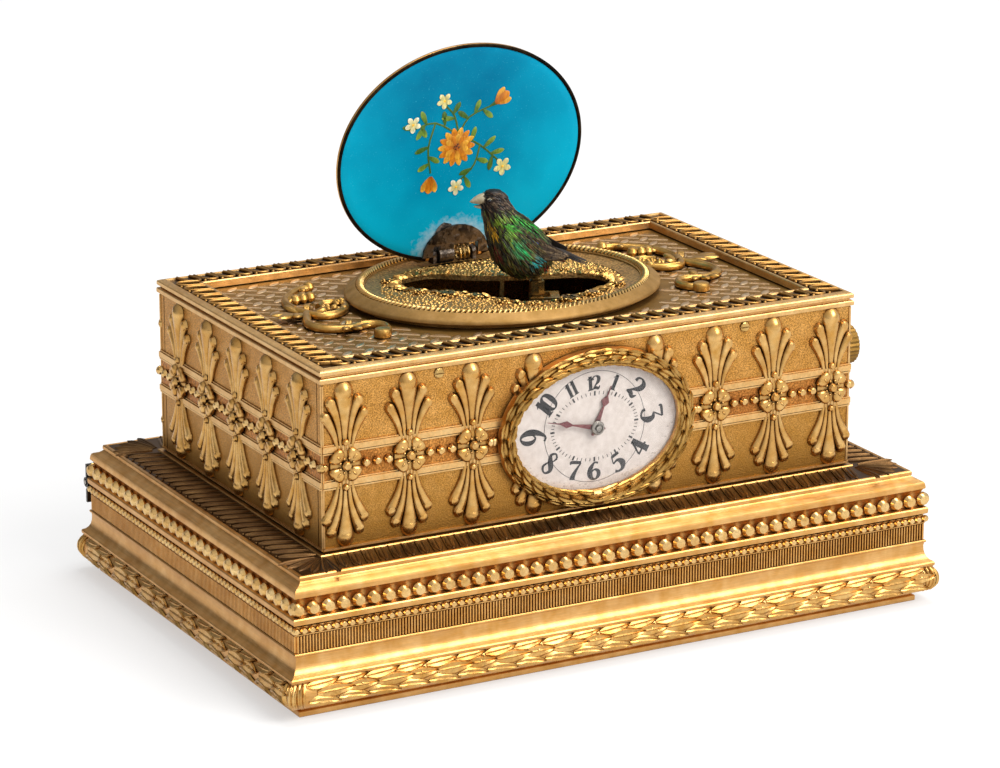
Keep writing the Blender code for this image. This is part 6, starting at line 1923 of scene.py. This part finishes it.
@dataclass
class Clock:
    """The oval clock on the front: laurel bezel, glass, dial and hands."""

    ring: Pair = (21.5, 15.4)
    dial: Pair = (19.9, 13.7)
    leaf_pitch: float = 3.4
    track: Pair = (10.2, 7.3)

    def wreath(self) -> None:
        """Makes the bezel's body and the laurel on it."""
        (a, b), (c, d) = self.ring, self.dial
        profile = [(a + 1.9, b + 2.1, 0.3)]
        profile += [(a + 1.6 * u, b + 1.8 * u, 1.1 + 1.2 * v) for u, v in arc((0, 0), (1, 1), -10, 180, 12)]
        profile += [(c, d, 0.9), (c, d, 0.3)]
        wall = Form().ovals(profile).placed(DIAL_PLACE)
        wall.fitted("clock_bezel_body", "case", GILT, "clock_bezel", sharp=50.0)
        for side, name in ((1, "right"), (-1, "left")):
            turns = [math.radians(-90 + side * k) for k in range(2, 180, 3)]
            line = [DIAL_PLACE @ Vector((a * math.cos(t), b * math.sin(t), 1.15)) for t in turns]
            spot = rail([line], [(0, -1, 0)])
            repeat(f"{name}_wreath", "case", WREATH, laurel_ring(1.75, 1.2, side), spot, Pitch=self.leaf_pitch * MM)

    def face(self) -> None:
        """Makes the dial's plate with its chipped rim, the figures, the minute track and a thin ring."""
        form, level = Form(), 0.12
        for text, x, y, turn, wide, tall in HOURS:
            spot = Matrix.Translation((x, y, 0)) @ turned(turn)
            for k, figure in enumerate(text):
                shift, drawn = (k - (len(text) - 1) / 2) * wide * 0.62, Form()
                for line in FIGURES[figure]:
                    rows = [(u * wide + shift, v * tall, level, w * wide * 1.45, 0.02) for u, v, w in line]
                    drawn.sweep(rows, FLAT, steps=4)
                form.add(drawn, spot)
        for k in range(60):
            turn = math.pi * k / 30
            u, v = math.cos(turn), math.sin(turn)
            long, wide = (0.5, 0.2) if k % 5 == 0 else (0.36, 0.075)
            ends = [((self.track[0] + off) * u, (self.track[1] + off) * v, level) for off in (-long, long)]
            form.bar(*ends, wide, 0.02)
        form.sweep([(12.2 * u, 12.2 * v, level, 0.05, 0.015) for u, v in around(120)], FLAT, steps=1, looped=True)
        form.placed(DIAL_PLACE).fitted("dial_figures", "case", INK)
        c, d = self.dial
        profile = [(c + 0.2, d + 0.2, -0.3), (c + 0.2, d + 0.2, 0.0), (c - 0.5, d - 0.5, 0.08), (0.3, 0.2, 0.1)]
        plate, rim = Form().ovals(profile, 96, False), Form()
        plate.placed(DIAL_PLACE).fitted("dial_plate", "case", DIAL, "clock_dial")
        chance = random.Random(9)
        for _ in range(70):
            turn, reach = math.radians(chance.gauss(-80, 60)), chance.uniform(0.5, 1.5)
            size = chance.uniform(0.08, 0.24)
            spot = ((c - reach) * math.cos(turn), (d - reach) * math.sin(turn), 0.085)
            rim.ball(spot, (size * 1.6, size, 0.03), around(6))
        rim.placed(DIAL_PLACE).fitted("dial_chips", "case", CHIPPED)

    def glass(self) -> None:
        """Makes the domed glass."""
        c, d = self.dial[0] - 0.2, self.dial[1] - 0.2
        outer = [(c * s, d * s, 1.65 + 1.35 * (1 - s ** 2.4)) for s in (1.0, 0.97, 0.9, 0.78, 0.62, 0.44, 0.24, 0.03)]
        inner = [(a * 0.995, b * 0.995, z - 0.45) for a, b, z in reversed(outer)]
        dome = Form().ovals(outer + inner, 96, False).placed(DIAL_PLACE)
        pane = dome.fitted("glass_dome", "case", PANE, "clock_glass", sharp=60.0)
        pane.visible_shadow = False

    def build(self) -> None:
        """Makes the clock and dresses its dial, hands, movement and crown."""
        self.wreath()
        self.face()
        self.glass()
        steps = ((1.55, 1.3), (1.55, 1.7), (1.35, 1.9), (1.05, 1.92), (0.98, 1.75), (0.7, 1.75), (0.6, 2.1), (0.1, 2.2))
        collet = Form().ovals([(r, r, z) for r, z in steps], 28, False)
        collet.placed(DIAL_PLACE).fitted("hand_collet", "minute_hand", STEEL)
        dress(BLUED, "hour_hand", "minute_hand")
        dress(BRASS, "clock_movement")
        dress(PLATE, "crown")


def dress_works() -> None:
    """Finishes the bird movement's pieces, which keep their CAD shapes."""
    dress(BRASS, "bird_bedplate", "movement_bridge", "spring_barrel", "cam_stack", "whistle_tube", "carriage_guide",
          "wind_chest")
    dress(BRASS, "bridge_pillar_1", "bridge_pillar_2", "bridge_pillar_3", "bellows_board", "start_slide")
    dress(STEEL, "winding_arbor", "ratchet_click", "click_screw", "governor_fan", "whistle_piston")
    dress(SKIN, "bellows_leather")


@dataclass
class Studio:
    """A pale floor, soft lamps and the photograph's camera."""

    camera_at: Triple = (-0.40705, -0.75333, 0.30138)
    forward: Triple = (0.4550, 0.8437, -0.2849)
    lens: float = 145.98
    aim: Triple = (0, 0, 0.05)
    bright_side: Triple = (0.45, -0.75, 0.49)
    fade: Pair = (0.09, 1.1)

    def floor(self) -> None:
        """Lays a white floor that keeps the clock's soft shadow."""
        mesh = bpy.data.meshes.new("floor")
        mesh.from_pydata([(-4, -4, 0), (4, -4, 0), (4, 4, 0), (-4, 4, 0)], [], [(0, 1, 2, 3)])
        floor = linked("floor", mesh)
        material = bpy.data.materials.new("pale floor")
        material.use_nodes = True
        graph = Graph(material.node_tree)
        grain = graph.noise(40.0, 2.0)
        tone = graph.mix(grain, (0.8, 0.8, 0.8), (0.84, 0.84, 0.84))
        lit = graph.node("ShaderNodeBsdfDiffuse", {"Color": tone}).outputs[0]
        glow = graph.node("ShaderNodeEmission", {"Color": (1, 1, 1, 1), "Strength": 1.0}).outputs[0]
        rays = graph.node("ShaderNodeLightPath").outputs
        seen = graph.maths("MAXIMUM", rays["Is Camera Ray"], rays["Is Glossy Ray"])
        seen = graph.maths("MULTIPLY", graph.maths("MAXIMUM", seen, rays["Is Transmission Ray"]), 0.5)
        mixed = graph.node("ShaderNodeMixShader", {0: seen, 1: lit, 2: glow}).outputs[0]
        graph.node("ShaderNodeOutputMaterial", {"Surface": mixed})
        mesh.materials.append(material)

    def lamp(self, name: str, at: Row, size: float, power: float, tint: Tint = WHITE) -> None:
        """Hangs a square softbox that faces the clock.

        Args:
            name: its name.
            at: its place in metres.
            size: the length of its side in metres.
            power: its power in watts.
            tint: its colour.
        """
        data = bpy.data.lights.new(name, "AREA")
        data.size, data.energy, data.color = size, power, tint
        lamp = linked(name, data)
        lamp.location = at
        lamp.rotation_mode = "QUATERNION"
        lamp.rotation_quaternion = (Vector(self.aim) - Vector(at)).to_track_quat("-Z", "Y")

    def build(self) -> None:
        """Makes the floor, the lamps, the world and the camera."""
        self.floor()
        self.lamp("key", (0.5, -0.95, 0.95), 0.8, 17.0, (1.0, 0.985, 0.96))
        self.lamp("top", (0.25, 0.1, 1.3), 0.6, 7.0)
        world = bpy.data.worlds.new("studio")
        bpy.context.scene.world = world
        world.use_nodes = True
        graph = Graph(world.node_tree)
        rays = graph.node("ShaderNodeLightPath").outputs
        seen = graph.maths("MAXIMUM", rays["Is Camera Ray"], rays["Is Transmission Ray"])
        sky = graph.node("ShaderNodeTexCoord").outputs["Generated"]
        fade = graph.spread(graph.vector("DOT_PRODUCT", sky, self.bright_side)["Value"], -1.0, 1.0, *self.fade)
        strength = graph.mix(seen, fade, (1.0, 1.0, 1.0))
        ground = graph.node("ShaderNodeBackground", {"Color": strength, "Strength": 1.0}).outputs[0]
        graph.node("ShaderNodeOutputWorld", {"Surface": ground})
        data = bpy.data.cameras.new("camera")
        data.lens, data.sensor_width, data.clip_start, data.clip_end = self.lens, 36.0, 0.02, 20.0
        camera = linked("camera", data)
        camera.location = self.camera_at
        camera.rotation_mode = "QUATERNION"
        camera.rotation_quaternion = Vector(self.forward).to_track_quat("-Z", "Y")
        bpy.context.scene.camera = camera
        bpy.context.scene.view_settings.view_transform = "Standard"


def main() -> None:
    """Builds the clock's looks round the frame."""
    logging.basicConfig(level=logging.INFO, format="%(name)s: %(message)s")
    for builder in (Studio(), Plinth(), Case(), Window(), Lid(), Bird(), Clock()):
        builder.build()
    dress_works()


if __name__ == "__main__":
    main()
